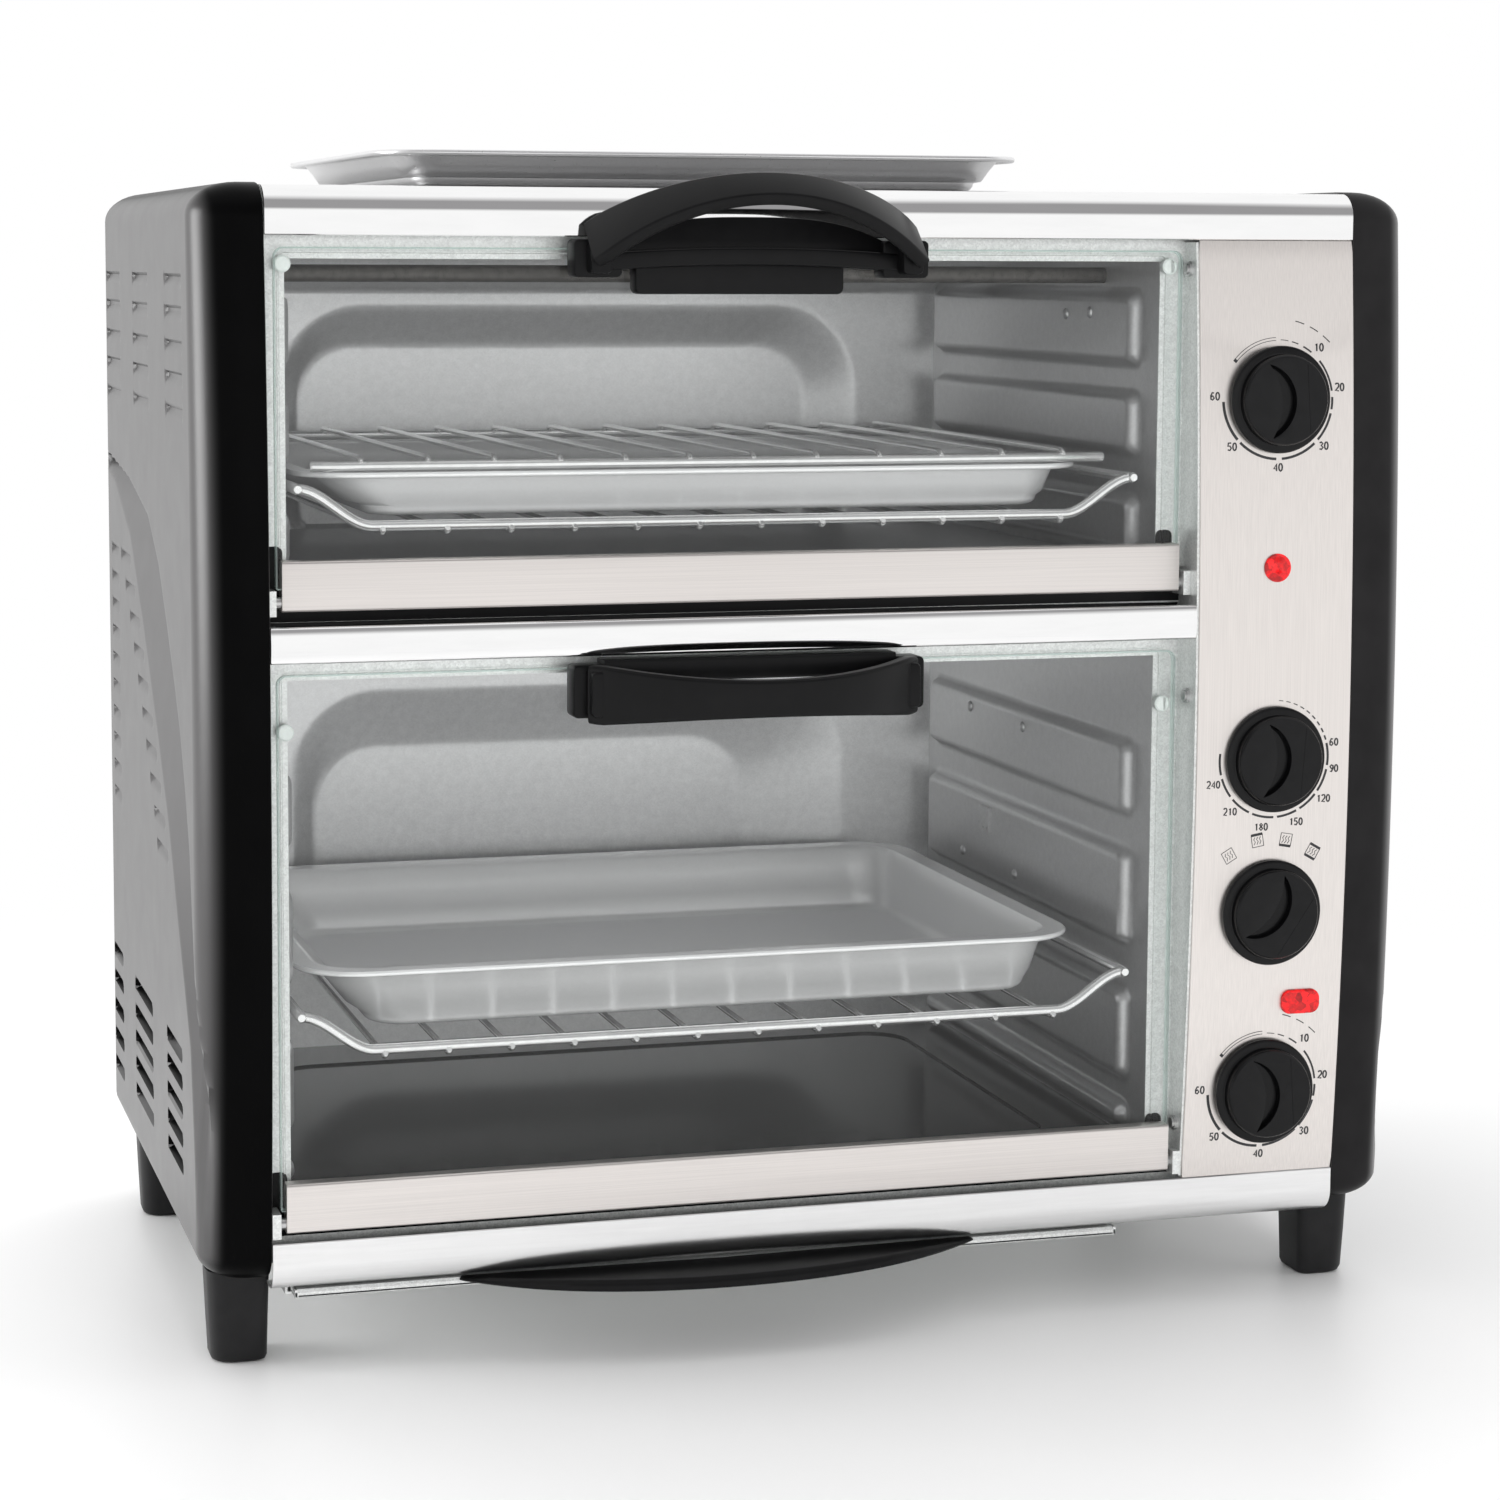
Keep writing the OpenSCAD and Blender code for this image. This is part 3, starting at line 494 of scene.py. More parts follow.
def side_cover(side, name, node, mat):
    step = 1.25
    rx, rf, rt, rr, rb = 20.0, 20.0, 13.0, 11.0, 12.0
    na = 10
    y_a, y_b = -BOW + rf, YR - rr
    ang = np.linspace(0, PI / 2, na + 1)
    ny = int((y_b - y_a) / step)
    nz = int((ZT - rt - ZB - rb) / step)
    U = [(math.cos(a), -1, y_a) for a in ang[:-1]] + [(0, 0, y_a + (y_b - y_a) * i / ny) for i in range(ny + 1)] + \
        [(math.cos(a), 1, y_b) for a in ang[:-1][::-1]]
    V = [(math.cos(a), -1, ZB + rb) for a in ang[:-1]] + [(0, 0, ZB + rb + (ZT - rt - ZB - rb) * i / nz)
                                                          for i in range(nz + 1)] + \
        [(math.cos(a), 1, ZT - rt) for a in ang[:-1][::-1]]
    cu, su, yu = (np.array([u[k] for u in U]) for k in range(3))
    cv, sv, zv = (np.array([v[k] for v in V]) for k in range(3))
    CU, CV = np.meshgrid(cu, cv)
    SU, SV = np.meshgrid(su, sv)
    YU, ZV = np.meshgrid(yu, zv)
    yy = CU * np.sqrt(1 - CV ** 2 / 2)
    zz = CV * np.sqrt(1 - CU ** 2 / 2)
    xx = np.sqrt(np.clip(1 - yy ** 2 - zz ** 2, 0, 1))
    Y = YU + SU * yy * np.where(SU < 0, rf, rr)
    Z = ZV + SV * zz * np.where(SV < 0, rb, rt)
    edge = smooth(np.minimum.reduce([(Y - y_a + 15) / 10, (y_b - Y + 2) / 5, (Z - ZB - rb + 6) / 8,
                                     (ZT - rt - Z) / 10]))
    X = W - rx + rx * xx - relief(Y, Z) * edge * (CV == 0)
    Yb = Y + (bow(Z) + BOW) * np.clip(1 - (Y + BOW) / 70, 0, 1)
    P = np.stack([X * side, Yb, Z], -1)
    M = Mesh()
    M.grid(P.tolist())
    rim = [tuple(P[0][j]) for j in range(P.shape[1])] + [tuple(P[i][-1]) for i in range(1, P.shape[0])] + \
          [tuple(P[-1][j]) for j in range(P.shape[1] - 2, -1, -1)] + [tuple(P[i][0])
          for i in range(P.shape[0] - 2, 0, -1)]
    loops = [rim]
    for x, d in ((XIN + 1.0, 0), (XIN + 0.3, 0.3), (XIN, 1.0)):
        yz = inset([(p[1], p[2]) for p in rim], d)
        loops.append([(x * side, q[0], q[1]) for q in yz])
    M.loft(loops, 0, False, True)
    M.make(name, "case", [mat], "cover", [node], 28)


side_cover(-1, "cover_left", "left_side_cover", COVER)
side_cover(1, "cover_right", "right_side_cover", COVER_R_PAINTED_LIGHT)


# ---------------------------------------------------------------- feet
def foot(node, side):
    b = BX(node)
    cx, cy, top = (b[0][0] + b[0][1]) / 2, (b[1][0] + b[1][1]) / 2, b[2][1]
    M = Mesh()
    L = []
    for z, w0, w1, d in ((0, 9.3, 9.5, 9.6), (0.8, 10.6, 10.6, 11), (2.6, 11.2, 11.2, 11.8),
                         (top * 0.5, 12, 11.6, 12.4), (top, 12.8, 12.2, 12.9)):
        x0, x1 = (cx - w0, cx + w1) if side < 0 else (cx - w1, cx + w0)
        rs = [8, 4, 4, 8] if side < 0 else [4, 8, 8, 4]
        L.append([(p[0], p[1], z) for p in rrect(x0, cy - d, x1, cy + d, rs, 6)])
    M.loft(L)
    M.make("foot_" + node[:-5], "case", [FOOT], "black_plastic", [node])


for nm, sd in (("front_left_foot", -1), ("front_right_foot", 1), ("rear_left_foot", -1), ("rear_right_foot", 1)):
    foot(nm, sd)


# ---------------------------------------------------------------- chrome strips, panel, frame
def extrusion(prof, x0, x1, name, mat, slot, node, bev=0.5, angle=35):
    M = Mesh()
    M.slab(prof, lambda a, b, c: (c, a, b), x0, x1, bev)
    return M.make(name, "case", [mat], slot, [node] if node else [], angle)


tb = BX("top_trim")
R = tb[2][1] - 461
extrusion([(0.4, tb[2][0]), (1.6, tb[2][0]), (1.6, 460), (3, 465.5), (7, 469.6), (11.9, 470.6), (11.9, tb[2][1])] +
          arc((R, 461), R, PI / 2, PI, 14) + [(0, 459), (0, tb[2][0] + 0.4)], tb[0][0], tb[0][1], "trim_top",
          CHROME, "chrome", "top_trim", 0.3, 25)
mb = BX("middle_trim")
y0, z0, z1 = mb[1][0], mb[2][0], mb[2][1]
front = [(y0 + 0.55 * (abs(t - 0.5) * 2) ** 2, z1 - 1.6 - (z1 - z0 - 3.2) * t) for t in np.linspace(0, 1, 9)]
extrusion([(11.9, z0), (11.9, z1), (y0 + 2.2, z1)] + arc((y0 + 2.2, z1 - 1.6), 1.6, PI / 2, PI, 4)[1:-1] + front +
          arc((y0 + 2.2, z0 + 1.6), 1.6, PI, 1.5 * PI, 4)[1:], mb[0][0], mb[0][1], "trim_middle", CHROME, "chrome",
          "middle_trim", 0.4, 25)
bb = BX("bottom_trim")
rb = 10.0
extrusion([(1.2, bb[2][1]), (0.3, bb[2][1]), (0, bb[2][1] - 0.4), (0, bb[2][0] + rb + 1)] +
          arc((rb, bb[2][0] + rb), rb, PI, 1.5 * PI, 14) + [(16.9, bb[2][0]), (16.9, bb[2][0] + 1)] +
          arc((rb, bb[2][0] + rb), rb - 1.2, 1.5 * PI, PI, 14), bb[0][0], bb[0][1], "trim_bottom", SATIN, "chrome",
          "bottom_trim", 0.3, 25)

px0, px1 = PAN[0]
M = Mesh()
L = []
nz = 90
for i in range(nz + 1):
    z = PAN[2][0] + (PAN[2][1] - PAN[2][0]) * i / nz
    e = 0.35 if i in (0, nz) else 0
    y = float(bow(z))
    L.append([(p[0], y + p[1], z) for p in rrect(px0 + e, e * 0.6, px1 - e, 1.3, 0.55, 4)])
M.loft(L)
M.make("panel_face", "case", [PANEL], "stainless", ["control_panel"], 30)

fb = BX("front_frame")
OX = (-220.0, 147.5)
UZ = (BX("divider_liner")[2][1], 443.0)
LZ = (BX("floor_liner")[2][1], 278.0)
fy = 12.0
M = Mesh()
xs = [fb[0][0], OX[0], OX[1], fb[0][1]]
zs = [fb[2][0], LZ[0], LZ[1], UZ[0], UZ[1], fb[2][1]]
holes = {(1, 1), (1, 3)}
for y in (fy, fy + 1):
    v = [(x, y, z) for z in zs for x in xs]
    M.add(v, [(j * 4 + i, j * 4 + i + 1, j * 4 + i + 5, j * 4 + i + 4) for j in range(5) for i in range(3)
              if (i, j) not in holes])
for x0, x1, z0, z1 in ((OX[0], OX[1], LZ[0], LZ[1]), (OX[0], OX[1], UZ[0], UZ[1]), (xs[0], xs[3], zs[0], zs[5])):
    c = [(x0, z0), (x1, z0), (x1, z1), (x0, z1)]
    M.grid([[(p[0], y, p[1]) for p in c] for y in (fy, fy + 1)], cv=True)
# raised seam lines round each opening, and the return behind the panel's edge
for x0, x1, z0, z1 in ((OX[0], OX[1], LZ[0], LZ[1]), (OX[0], OX[1], UZ[0], UZ[1])):
    path = [(x0 - 3, z0 - 2), (x1 + 3, z0 - 2), (x1 + 3, z1 + 3), (x0 - 3, z1 + 3)]
    lo = rrect(path[0][0], path[0][1], path[2][0], path[2][1], 3, 4)
    M.grid([[(p[0], fy + dy, p[1]) for p in inset(lo, d)]
            for d, dy in ((-0.9, 0), (-0.5, -0.5), (0.5, -0.5), (0.9, 0))], cv=True)
M.make("frame_plate", "case", [GALV], "galvanised", ["front_frame"], 30)
M = Mesh()
L = []
for i in range(41):
    z = PAN[2][0] + 0.8 + (PAN[2][1] - PAN[2][0] - 1.6) * i / 40
    L.append([(px0 - 1, float(bow(z)) + 1.0, z), (px0, float(bow(z)) + 1.0, z), (px0, fy, z), (px0 - 1, fy, z)])
M.loft(L)
M.make("frame_flank", "case", [GALV], "galvanised", ["front_frame"], 30)

# dark strips behind the foot of each door, painted shade for the gaps there
M = Mesh()
for za, zb in ((BX("middle_trim")[2][1], 315.5), (BZ0, 66.5)):
    M.box((fb[0][0] + 0.2, px0 - 1.2), (fy - 0.7, fy - 0.02), (za + 0.1, zb), 0.15)
M.make("door_seals", "case", [BLACK], "black_plastic")

# black sheets on the frame's lower corners for the door-lever slots, painted shade of the slot openings
M = Mesh()
for x in (-224.8, 151.6):
    for z0, z1 in ((313.5, 331), (66, 81)):
        loop = rrect(x - 4.1, z0, x + 3.2, z1, [0.5, 0.5, 2.5, 2.5], 4)
        M.slab(loop, lambda a, b, c: (a, c, b), fy - 0.5, fy + 0.2, 0.15)
M.make("lever_slots", "case", [BLACK], "black_plastic")


# ---------------------------------------------------------------- cavity linings
def rdist(x, z, x0, x1, z0, z1, r):
    qx = np.abs(x - (x0 + x1) / 2) - (x1 - x0) / 2 + r
    qz = np.abs(z - (z0 + z1) / 2) - (z1 - z0) / 2 + r
    return np.hypot(np.maximum(qx, 0), np.maximum(qz, 0)) + np.minimum(np.maximum(qx, qz), 0) - r


bl = BX("back_liner")
yb = bl[1][0]
st = 2
xs = np.linspace(OX[0], OX[1], int(367 / st))
zs = np.linspace(LZ[0] - 2, 444, int(380 / st))
X, Z = np.meshgrid(xs, zs)
H = np.zeros_like(X)
for ox, oz, ix, iz, ro, ri in (((-178, 106), (300, 420.8), (-168, 83), (300, 401.9), 40, 26),
                               ((-173, 101), (92, 238), (-161, 53), (112, 211), 42, 30)):
    do = rdist(X, Z, ox[0], ox[1], oz[0], oz[1], ro)
    di = rdist(X, Z, ix[0], ix[1], iz[0], iz[1], ri)
    t = np.clip(-do / np.maximum(di - do, 1e-6), 0, 1)
    H -= 9.5 * np.where((Z > UZ[0]) == (oz[1] > 300), 0.3 * smooth(t) + 0.7 * t, 0)
H += np.clip(Z - 428.5, 0, 8) * 1.8
M = Mesh()
M.grid(np.stack([X, yb - H, Z], -1).tolist())
M.make("lining_back", "case", [CAVITY], "cavity", ["back_liner"], 60)


def side_lining(x, s, name, node, rivets, mat):
    ys = np.linspace(13, yb + 0.5, int(273 / st))
    zs = np.linspace(LZ[0] - 2, 444, int(380 / st * 1.4))
    Yg, Zg = np.meshgrid(ys, zs)
    H = np.zeros_like(Yg)
    for z0, z1 in ((398, 431), (360, 389), (319, 345), (205, 240), (149, 193), (90, 132), (69, 82)):
        d = rdist(Yg, Zg, 29, 276, z0, z1, 7)
        H += 5.0 * smooth(-d / 4.5)
    M = Mesh()
    M.grid(np.stack([x + s * H, Yg, Zg], -1).tolist())
    for y, z in rivets:
        h = float(5.0 * max(smooth(-rdist(np.array(y), np.array(z), 29, 276, a, b, 7) / 4.5)
                            for a, b in ((398, 431), (360, 389), (319, 345), (205, 240), (149, 193), (90, 132))))
        M.lathe([(2.6, -0.2), (2.4, 0.5), (1.7, 1.1), (0.7, 1.4)], (x + s * h, y, z), (s, 0, 0), 16)
    M.make(name, "case", [mat], "cavity", [node], 60)


RV = [(102, 420), (75, 421), (215, 231), (147, 230), (222, 160), (154, 160)]
# the right lining takes the darker painted-shade copy of the cavity material
side_lining(OX[1], -1, "lining_right", "right_liner", RV, CAVITY_R_PAINTED_SHADE)
side_lining(OX[0], 1, "lining_left", "left_liner", RV, CAVITY)


# ---------------------------------------------------------------- doors
def door(which, body):
    g = BX(which + "_door_glass")
    M = Mesh()
    loop = rrect(g[0][0], g[2][0], g[0][1], g[2][1], [1, 1, 4, 4], 5)
    fn = lambda a, b, c: (a, c, b)
    M.add([fn(p[0], p[1], g[1][0]) for p in inset(loop, 0.6)], [tuple(range(len(loop)))], 0)
    M.add([fn(p[0], p[1], g[1][1]) for p in inset(loop, 0.6)], [tuple(range(len(loop)))], 0)
    M.grid([[fn(p[0], p[1], y) for p in inset(loop, d)]
            for d, y in ((0.6, g[1][0]), (0, g[1][0] + 0.6), (0, g[1][1] - 0.6), (0.6, g[1][1]))], 1, cv=True)
    M.make(which + "_glass", body, [GLASS, EDGE], "door_glass", [which + "_door_glass"])
    s = BX(which + "_door_strip")
    y0, y1, z0, z1 = s[1][0], s[1][1], s[2][0], s[2][1]
    prof = [(y1 - 0.8, z0), (y1, z0 + 0.8), (y1, z1 - 0.8), (y1 - 0.8, z1), (y0 + 1.2, z1)] + \
        arc((y0 + 1.2, z1 - 1.2), 1.2, PI / 2, PI, 5)[1:] + arc((y0 + 1.2, z0 + 1.2), 1.2, PI, 1.5 * PI, 5)
    M = Mesh()
    M.slab(prof, lambda a, b, c: (c, a, b), s[0][0], s[0][1], 0.35)
    M.make(which + "_strip", body, [STRIP], "brushed_strip", [which + "_door_strip"], 30)
    b = BX(which + "_door_bumpers")
    M = Mesh()
    zc = (b[2][0] + b[2][1]) / 2
    r = (b[2][1] - b[2][0]) / 2
    for x in (b[0][0] + r, b[0][1] - r):
        M.lathe([(r * 0.8, b[1][0]), (r, b[1][0] + 0.5), (r * 0.95, b[1][1] - 1.2), (r * 0.6, b[1][1] - 0.1)],
                (x, 0, zc), (0, 1, 0), 24)
    M.make(which + "_bumpers", body, [RUBBER], "clear_rubber", [which + "_door_bumpers"])


door("upper", "upper_door")
door("lower", "lower_door")

DX = (BX("lower_door_glass")[0][0] + BX("lower_door_glass")[0][1]) / 2
HALF = (BX("lower_handle_grip")[0][1] - BX("lower_handle_grip")[0][0]) / 2
BD = 30.0


def grip(pz, tilt):
    r = (HALF ** 2 + BD ** 2) / (2 * BD)
    amax = math.asin(HALF / r)
    ct, sn = math.cos(math.radians(-tilt)), math.sin(math.radians(-tilt))
    M = Mesh()
    L = []
    n = 48
    for i in range(n + 1):
        a = -amax + 2 * amax * i / n
        e = min(i, n - i)
        sh = 1 if e > 1 else (0.975 if e == 1 else 0.93)
        x = r * math.sin(a)
        hh = (487.4 - math.sqrt(480 ** 2 - x * x)) * sh
        t0 = 5.6 if e > 1 else 5.6 * sh
        sec = rrect(-t0, -hh, 0, hh, [1.0, 1.6, 1.6, 1.0], 4)
        row = []
        for q, w in sec:
            rad = r + q
            x = rad * math.sin(a)
            y = -(rad * math.cos(a) - (r - BD))
            yy, zz = y * ct - w * sn, y * sn + w * ct
            row.append((DX + max(-HALF, min(HALF, x)), -14 + yy, pz + zz))
        L.append(row)
    M.loft(L)
    return M


lg = BX("lower_handle_grip")
LZG = (lg[2][0] + lg[2][1]) / 2
M = grip(LZG, 0)
M.make("lower_grip", "lower_door", [BLACK], "black_plastic", ["lower_handle_grip"], 32)
TILT = 50
M = grip(LZG + 178, TILT)
M.make("upper_grip", "upper_door", [BLACK], "black_plastic", ["upper_handle_grip"], 32)

# bases: a long shelf on the glass, a deeper middle block and two end brackets that hold the grip
for which, body, zb in (("upper", "upper_door", BX("upper_handle_base")[2]),
                        ("lower", "lower_door", BX("lower_handle_base")[2])):
    up = which == "upper"
    M = Mesh()
    gy = 3.0
    for s in (-1, 1):
        x0, x1 = sorted((DX + s * (HALF - 15), DX + s * (HALF + 4.5)))
        za, zc = (436, 451) if up else (LZG - 10, LZG + 11)
        M.slab(rrect(x0, za, x1, zc, 2, 3), lambda a, b, c: (a, c, b), -9, gy, 0.8)
        xa, xb = sorted((DX + s * (HALF - 9), DX + s * (HALF - 0.5)))
        M.slab(rrect(xa, za + 1.5, xb, zc - 1.5, 2, 3), lambda a, b, c: (a, c, b), -19 if not up else -17, -5, 0.8)
    za, zc = (438, 448) if up else (LZG + 4, LZG + 13)
    L = []
    for i in range(25):
        x = DX - HALF + 8 + (2 * HALF - 16) * i / 24
        sag = 3.0 * (1 - ((x - DX) / HALF) ** 2)
        L.append([(x, q[0], q[1] + (sag if up else 0)) for q in rrect(-9.5, za, gy, zc - (3 if up else 0), 1.0, 3)])
    M.loft(L)
    if up:
        M.slab(rrect(DX - 48, 429.5, DX + 38.5, 444, 2.5, 3), lambda a, b, c: (a, c, b), -6.5, gy, 1.0)
        wall = [(DX + 62 * u, 447 + 13 * (1 - abs(u) ** 3)) for u in np.linspace(1, -1, 33)]
        M.slab([(DX - 62, 440), (DX + 62, 440)] + wall, lambda a, b, c: (a, c, b), -5, -1.5, 0.5)
    M.make(which + "_handle_mount", body, [BLACK], "black_plastic", [which + "_handle_base"], 32)


# ---------------------------------------------------------------- racks and trays
def rack(which):
    b = BX(which)
    r, rc = 2.2, 1.3
    y0, y1 = b[1][0] + r, b[1][1] - r
    zt, zl = b[2][1] - r, b[2][0] + rc + 2.6
    xa, xb = b[0][0] + r, b[0][1] - r
    M = Mesh()
    bend = [(t, float(smooth(t))) for t in np.linspace(0, 1, 17)]
    for y in (y0 + 2, y1 - 2):
        left = [(xa + (-184 - xa) * t, y, zt + (zl - zt) * q) for t, q in bend]
        right = [(xb + (110 - xb) * t, y, zt + (zl - zt) * q) for t, q in bend]
        M.tube(left + right[::-1], r, 14)
    for x in (xa, xb):
        M.tube([(x, y0, zt), (x, y1, zt)], r, 14)
    for i in range(12):
        x = -180 + 288 * i / 11
        M.tube(fillet([(x, y0 - 0.6, zl - 1.4), (x, y0 + 1, zl - 2.6), (x, y1 - 1, zl - 2.6),
                       (x, y1 + 0.6, zl - 1.4)], 3, 4), rc, 10)
    M.make(which + "_wires", which + "_set", [WIRE], "wire_chrome", [which], 40)


rack("upper_rack")
rack("lower_rack")
b = BX("grill_insert")
zg = b[2][0] + 2.2
M = Mesh()
for y in (b[1][0] + 1.8, b[1][1] - 1.8):
    M.tube([(b[0][0] + 1.2, y, zg), (b[0][1] - 1.2, y, zg)], 2.2, 14)
for i in range(12):
    x = -187 + 27.2 * i
    M.tube(fillet([(x, b[1][0] + 0.6, zg + 1.2), (x, b[1][0] + 3, zg + 3), (x, b[1][1] - 3, zg + 3),
                   (x, b[1][1] - 0.6, zg + 1.2)], 3, 4), 1.3, 10)
M.make("grill_wires", "upper_rack_set", [WIRE], "wire_chrome", ["grill_insert"], 40)


def tray(node, body, bx, by, rim, r, mat=TRAY):
    b = BX(node)
    (x0, x1), (y0, y1), (z0, z1) = b
    t = 0.9

    def loop(f, ex, z):
        lo = [x0 + rim + (bx[0] - x0 - rim) * f, y0 + rim + (by[0] - y0 - rim) * f,
              x1 - rim - (x1 - rim - bx[1]) * f, y1 - rim - (y1 - rim - by[1]) * f]
        rr = (r - 6 * f) + max(-4, -ex) * 0.7
        return [(p[0], p[1], z) for p in rrect(lo[0] + ex, lo[1] + ex, lo[2] - ex, lo[3] - ex, max(2, rr), 10)]
    L = []
    zr = z1 - 1.3
    # inside, from the floor's middle out to the rim
    L.append(loop(1, 14, z0 + t))
    L.append(loop(1, 6, z0 + t))
    for k in range(1, 6):
        a = PI / 2 * k / 5
        L.append(loop(1, 5 - 5 * math.sin(a) + t, z0 + t + 4 * (1 - math.cos(a))))
    for f in (0.66, 0.33, 0.08):
        L.append(loop(f, t, z0 + t + (zr - z0) * (1 - f)))
    L.append(loop(0, t * 0.2, zr + t - 0.1))
    L.append(loop(0, -1.2, zr + t))
    L.append(loop(0, -rim + 2.4, zr + t))
    for k in range(1, 8):
        a = PI / 2 - PI * k / 7 * 1.25
        L.append(loop(0, -rim + 1.3 - 1.3 * math.cos(a), z1 - 1.3 + 1.3 * math.sin(a)))
    L.append(loop(0, -rim + 3.0, zr - 0.2))
    L.append(loop(0, -0.6, zr - 0.1))
    L.append(loop(0.06, 0, zr - 1.4))
    for f in (0.33, 0.66):
        L.append(loop(f, 0, z0 + (zr - z0) * (1 - f)))
    for k in range(0, 6):
        a = PI / 2 * (1 - k / 5)
        L.append(loop(1, 5 - 5 * math.sin(a), z0 + 4 * (1 - math.cos(a))))
    L.append(loop(1, 14, z0))
    M = Mesh()
    M.loft(L, 0, True, True)
    M.make(node + "_sheet", body, [mat], "tray_aluminium", [node], 50)


tray("upper_tray", "upper_rack_set", (-183, 110), (42, 258), 8, 20)
tray("lower_tray", "lower_rack_set", (-181, 111), (50, 250), 9, 22)
tray("top_tray", "top_tray_set", (-160, 85), (56, 269), 7, 20, TRAY_TOP)

# ---------------------------------------------------------------- crumb tray
b = BX("crumb_tray")
M = Mesh()
(x0, x1), (y0, y1), (z0, z1) = b
M.slab(rrect(x0, y0, x1, y1, 1.5, 3), lambda a, c, e: (a, c, e), z1 - 3, z1 - 2, 0.2)
for xa, xb, ya, yb2 in ((x0, x0 + 1.2, y0, y1), (x1 - 1.2, x1, y0, y1), (x0, x1, y1 - 1.2, y1)):
    M.box((xa, xb), (ya, yb2), (z1 - 3, z1), 0.15)
M.slab([(y0, z0 + 0.5), (y0 + 0.5, z0), (y0 + 1.1, z0 + 0.3), (y0 + 1.1, z1 - 1.2), (y0 + 2.5, z1 - 1.0),
        (y0 + 6, z1 - 1), (y0 + 6, z1), (y0 + 1.2, z1), (y0, z1 - 1)],
       lambda a, c, e: (e, a, c), x0, x1, 0.2)
M.make("crumb_sheet", "crumb_tray_set", [GALV], "galvanised", ["crumb_tray"], 30)
b = BX("crumb_handle")
M = Mesh()
hx, hw, yf = (b[0][0] + b[0][1]) / 2, (b[0][1] - b[0][0]) / 2, b[1][0]
rc = (hw * hw + (5 - yf) ** 2) / (2 * (5 - yf))
am = math.asin(min(1, hw / rc))
L = []
for k, (d, z) in enumerate(((1.6, b[2][0]), (0.5, b[2][0] + 0.5), (0, b[2][0] + 1.8), (0.3, b[2][1] - 1.4),
                            (1.5, b[2][1] - 0.3), (3.0, b[2][1]))):
    row = []
    for i in range(49):
        t = -am + 2 * am * i / 48
        x = (rc - d) * math.sin(t) * 0.999
        row.append((hx + x, max(yf, yf + rc - (rc - d) * math.cos(t)),
                    b[2][1] - (b[2][1] - z) * (1 - 0.7 * (x / hw) ** 4)))
    L.append(row + [(hx, 5.0, z)])
M.loft(L, 0, False, False)
M.add(L[0], [(49, i + 1, i) for i in range(48)])
M.add(L[-1], [(49, i, i + 1) for i in range(48)])
M.make("crumb_grip", "crumb_tray_set", [BLACK], "black_plastic", ["crumb_handle"], 40)

# ---------------------------------------------------------------- knobs
CX = (BX("upper_timer_knob")[0][0] + BX("upper_timer_knob")[0][1]) / 2


def boolean(ob, cutter):
    md = ob.modifiers.new("cut", "BOOLEAN")
    md.operation = "DIFFERENCE"
    md.solver = "EXACT"
    md.object = cutter
    bv = ob.modifiers.new("edge", "BEVEL")
    bv.width = 0.00045
    bv.segments = 2
    bv.limit_method = "ANGLE"
    bv.angle_limit = math.radians(38)
    dg = bpy.context.evaluated_depsgraph_get()
    me = bpy.data.meshes.new_from_object(ob.evaluated_get(dg))
    ob.modifiers.clear()
    ob.data = me
    bpy.data.objects.remove(cutter)


def raw(M, name):
    me = bpy.data.meshes.new(name)
    me.from_pydata([tuple(v) for v in M.v], [], M.f)
    bm = bmesh.new()
    bm.from_mesh(me)
    bmesh.ops.remove_doubles(bm, verts=bm.verts, dist=2e-6)
    bmesh.ops.recalc_face_normals(bm, faces=bm.faces)
    bm.to_mesh(me)
    bm.free()
    ob = bpy.data.objects.new(name, me)
    bpy.context.collection.objects.link(ob)
    return ob


def knob(node, body, turn):
    b = BX(node)
    zc = (b[2][0] + b[2][1]) / 2
    yb, yf = b[1][1], b[1][0]
    H = yb - yf
    Rk = 22.4
    M = Mesh()
    prof = [(Rk - 0.5, 0), (Rk, 0.5), (Rk, 1.3), (Rk - 0.4, 1.9), (Rk - 1.2, 2.15), (Rk - 3.0, 2.2),
            (Rk - 3.3, 2.6), (Rk - 3.4, H - 1.6),
            (Rk - 3.7, H - 0.7), (Rk - 4.3, H - 0.15), (Rk - 5.2, H)]
    M.lathe(prof, (CX, yb, zc), (0, -1, 0), 96)
    ob = raw(M, "knob_tmp")
    a = math.radians(turn)

    def place(x, z, y):
        return (CX + x * math.cos(a) + z * math.sin(a), y, zc - x * math.sin(a) + z * math.cos(a))
    C = Mesh()
    top, bot = 15.5, -15.5
    outer, inner = [], []
    n = 36
    for i in range(n + 1):
        z = bot + (top - bot) * i / n
        outer.append((-12 + math.sqrt(16.2 ** 2 - z * z), z))
        inner.append((-28.8 + math.sqrt(26.4 ** 2 - z * z), z))
    loop = outer + inner[1:-1][::-1]
    depth = 4.0
    L = []
    for y, sh in ((yf - 3, 0), (yf + depth * 0.5, 0), (yf + depth - 0.6, 0.25), (yf + depth, 0.8)):
        L.append([place(p[0], p[1], y) for p in (inset(loop, sh) if sh else loop)])
    C.loft(L)
    cut = raw(C, "cut_tmp")
    boolean(ob, cut)
    ob.name = node + "_cap"
    ob.data.name = node + "_cap"
    ob.data.materials.clear()
    ob.data.materials.append(KNOB)
    finish_piece(ob, body, [node], 30)
    F = Mesh()
    F.slab([(9.7, -14.3), (10.0, -14.3), (10.0, 14.3), (9.7, 14.3)], lambda x, z, y: place(x, z, y), yf - 0.06,
           yf + 0.4, 0.05)
    F.make(node + "_line", body, [BLACK], "knob_plastic")


KN = (("upper_timer_knob", "upper_timer_control", -4), ("thermostat_knob", "thermostat_control", 4),
      ("function_knob", "function_control", 34),
      ("lower_timer_knob", "lower_timer_control", -4))
for nd, bd, tn in KN:
    knob(nd, bd, tn)

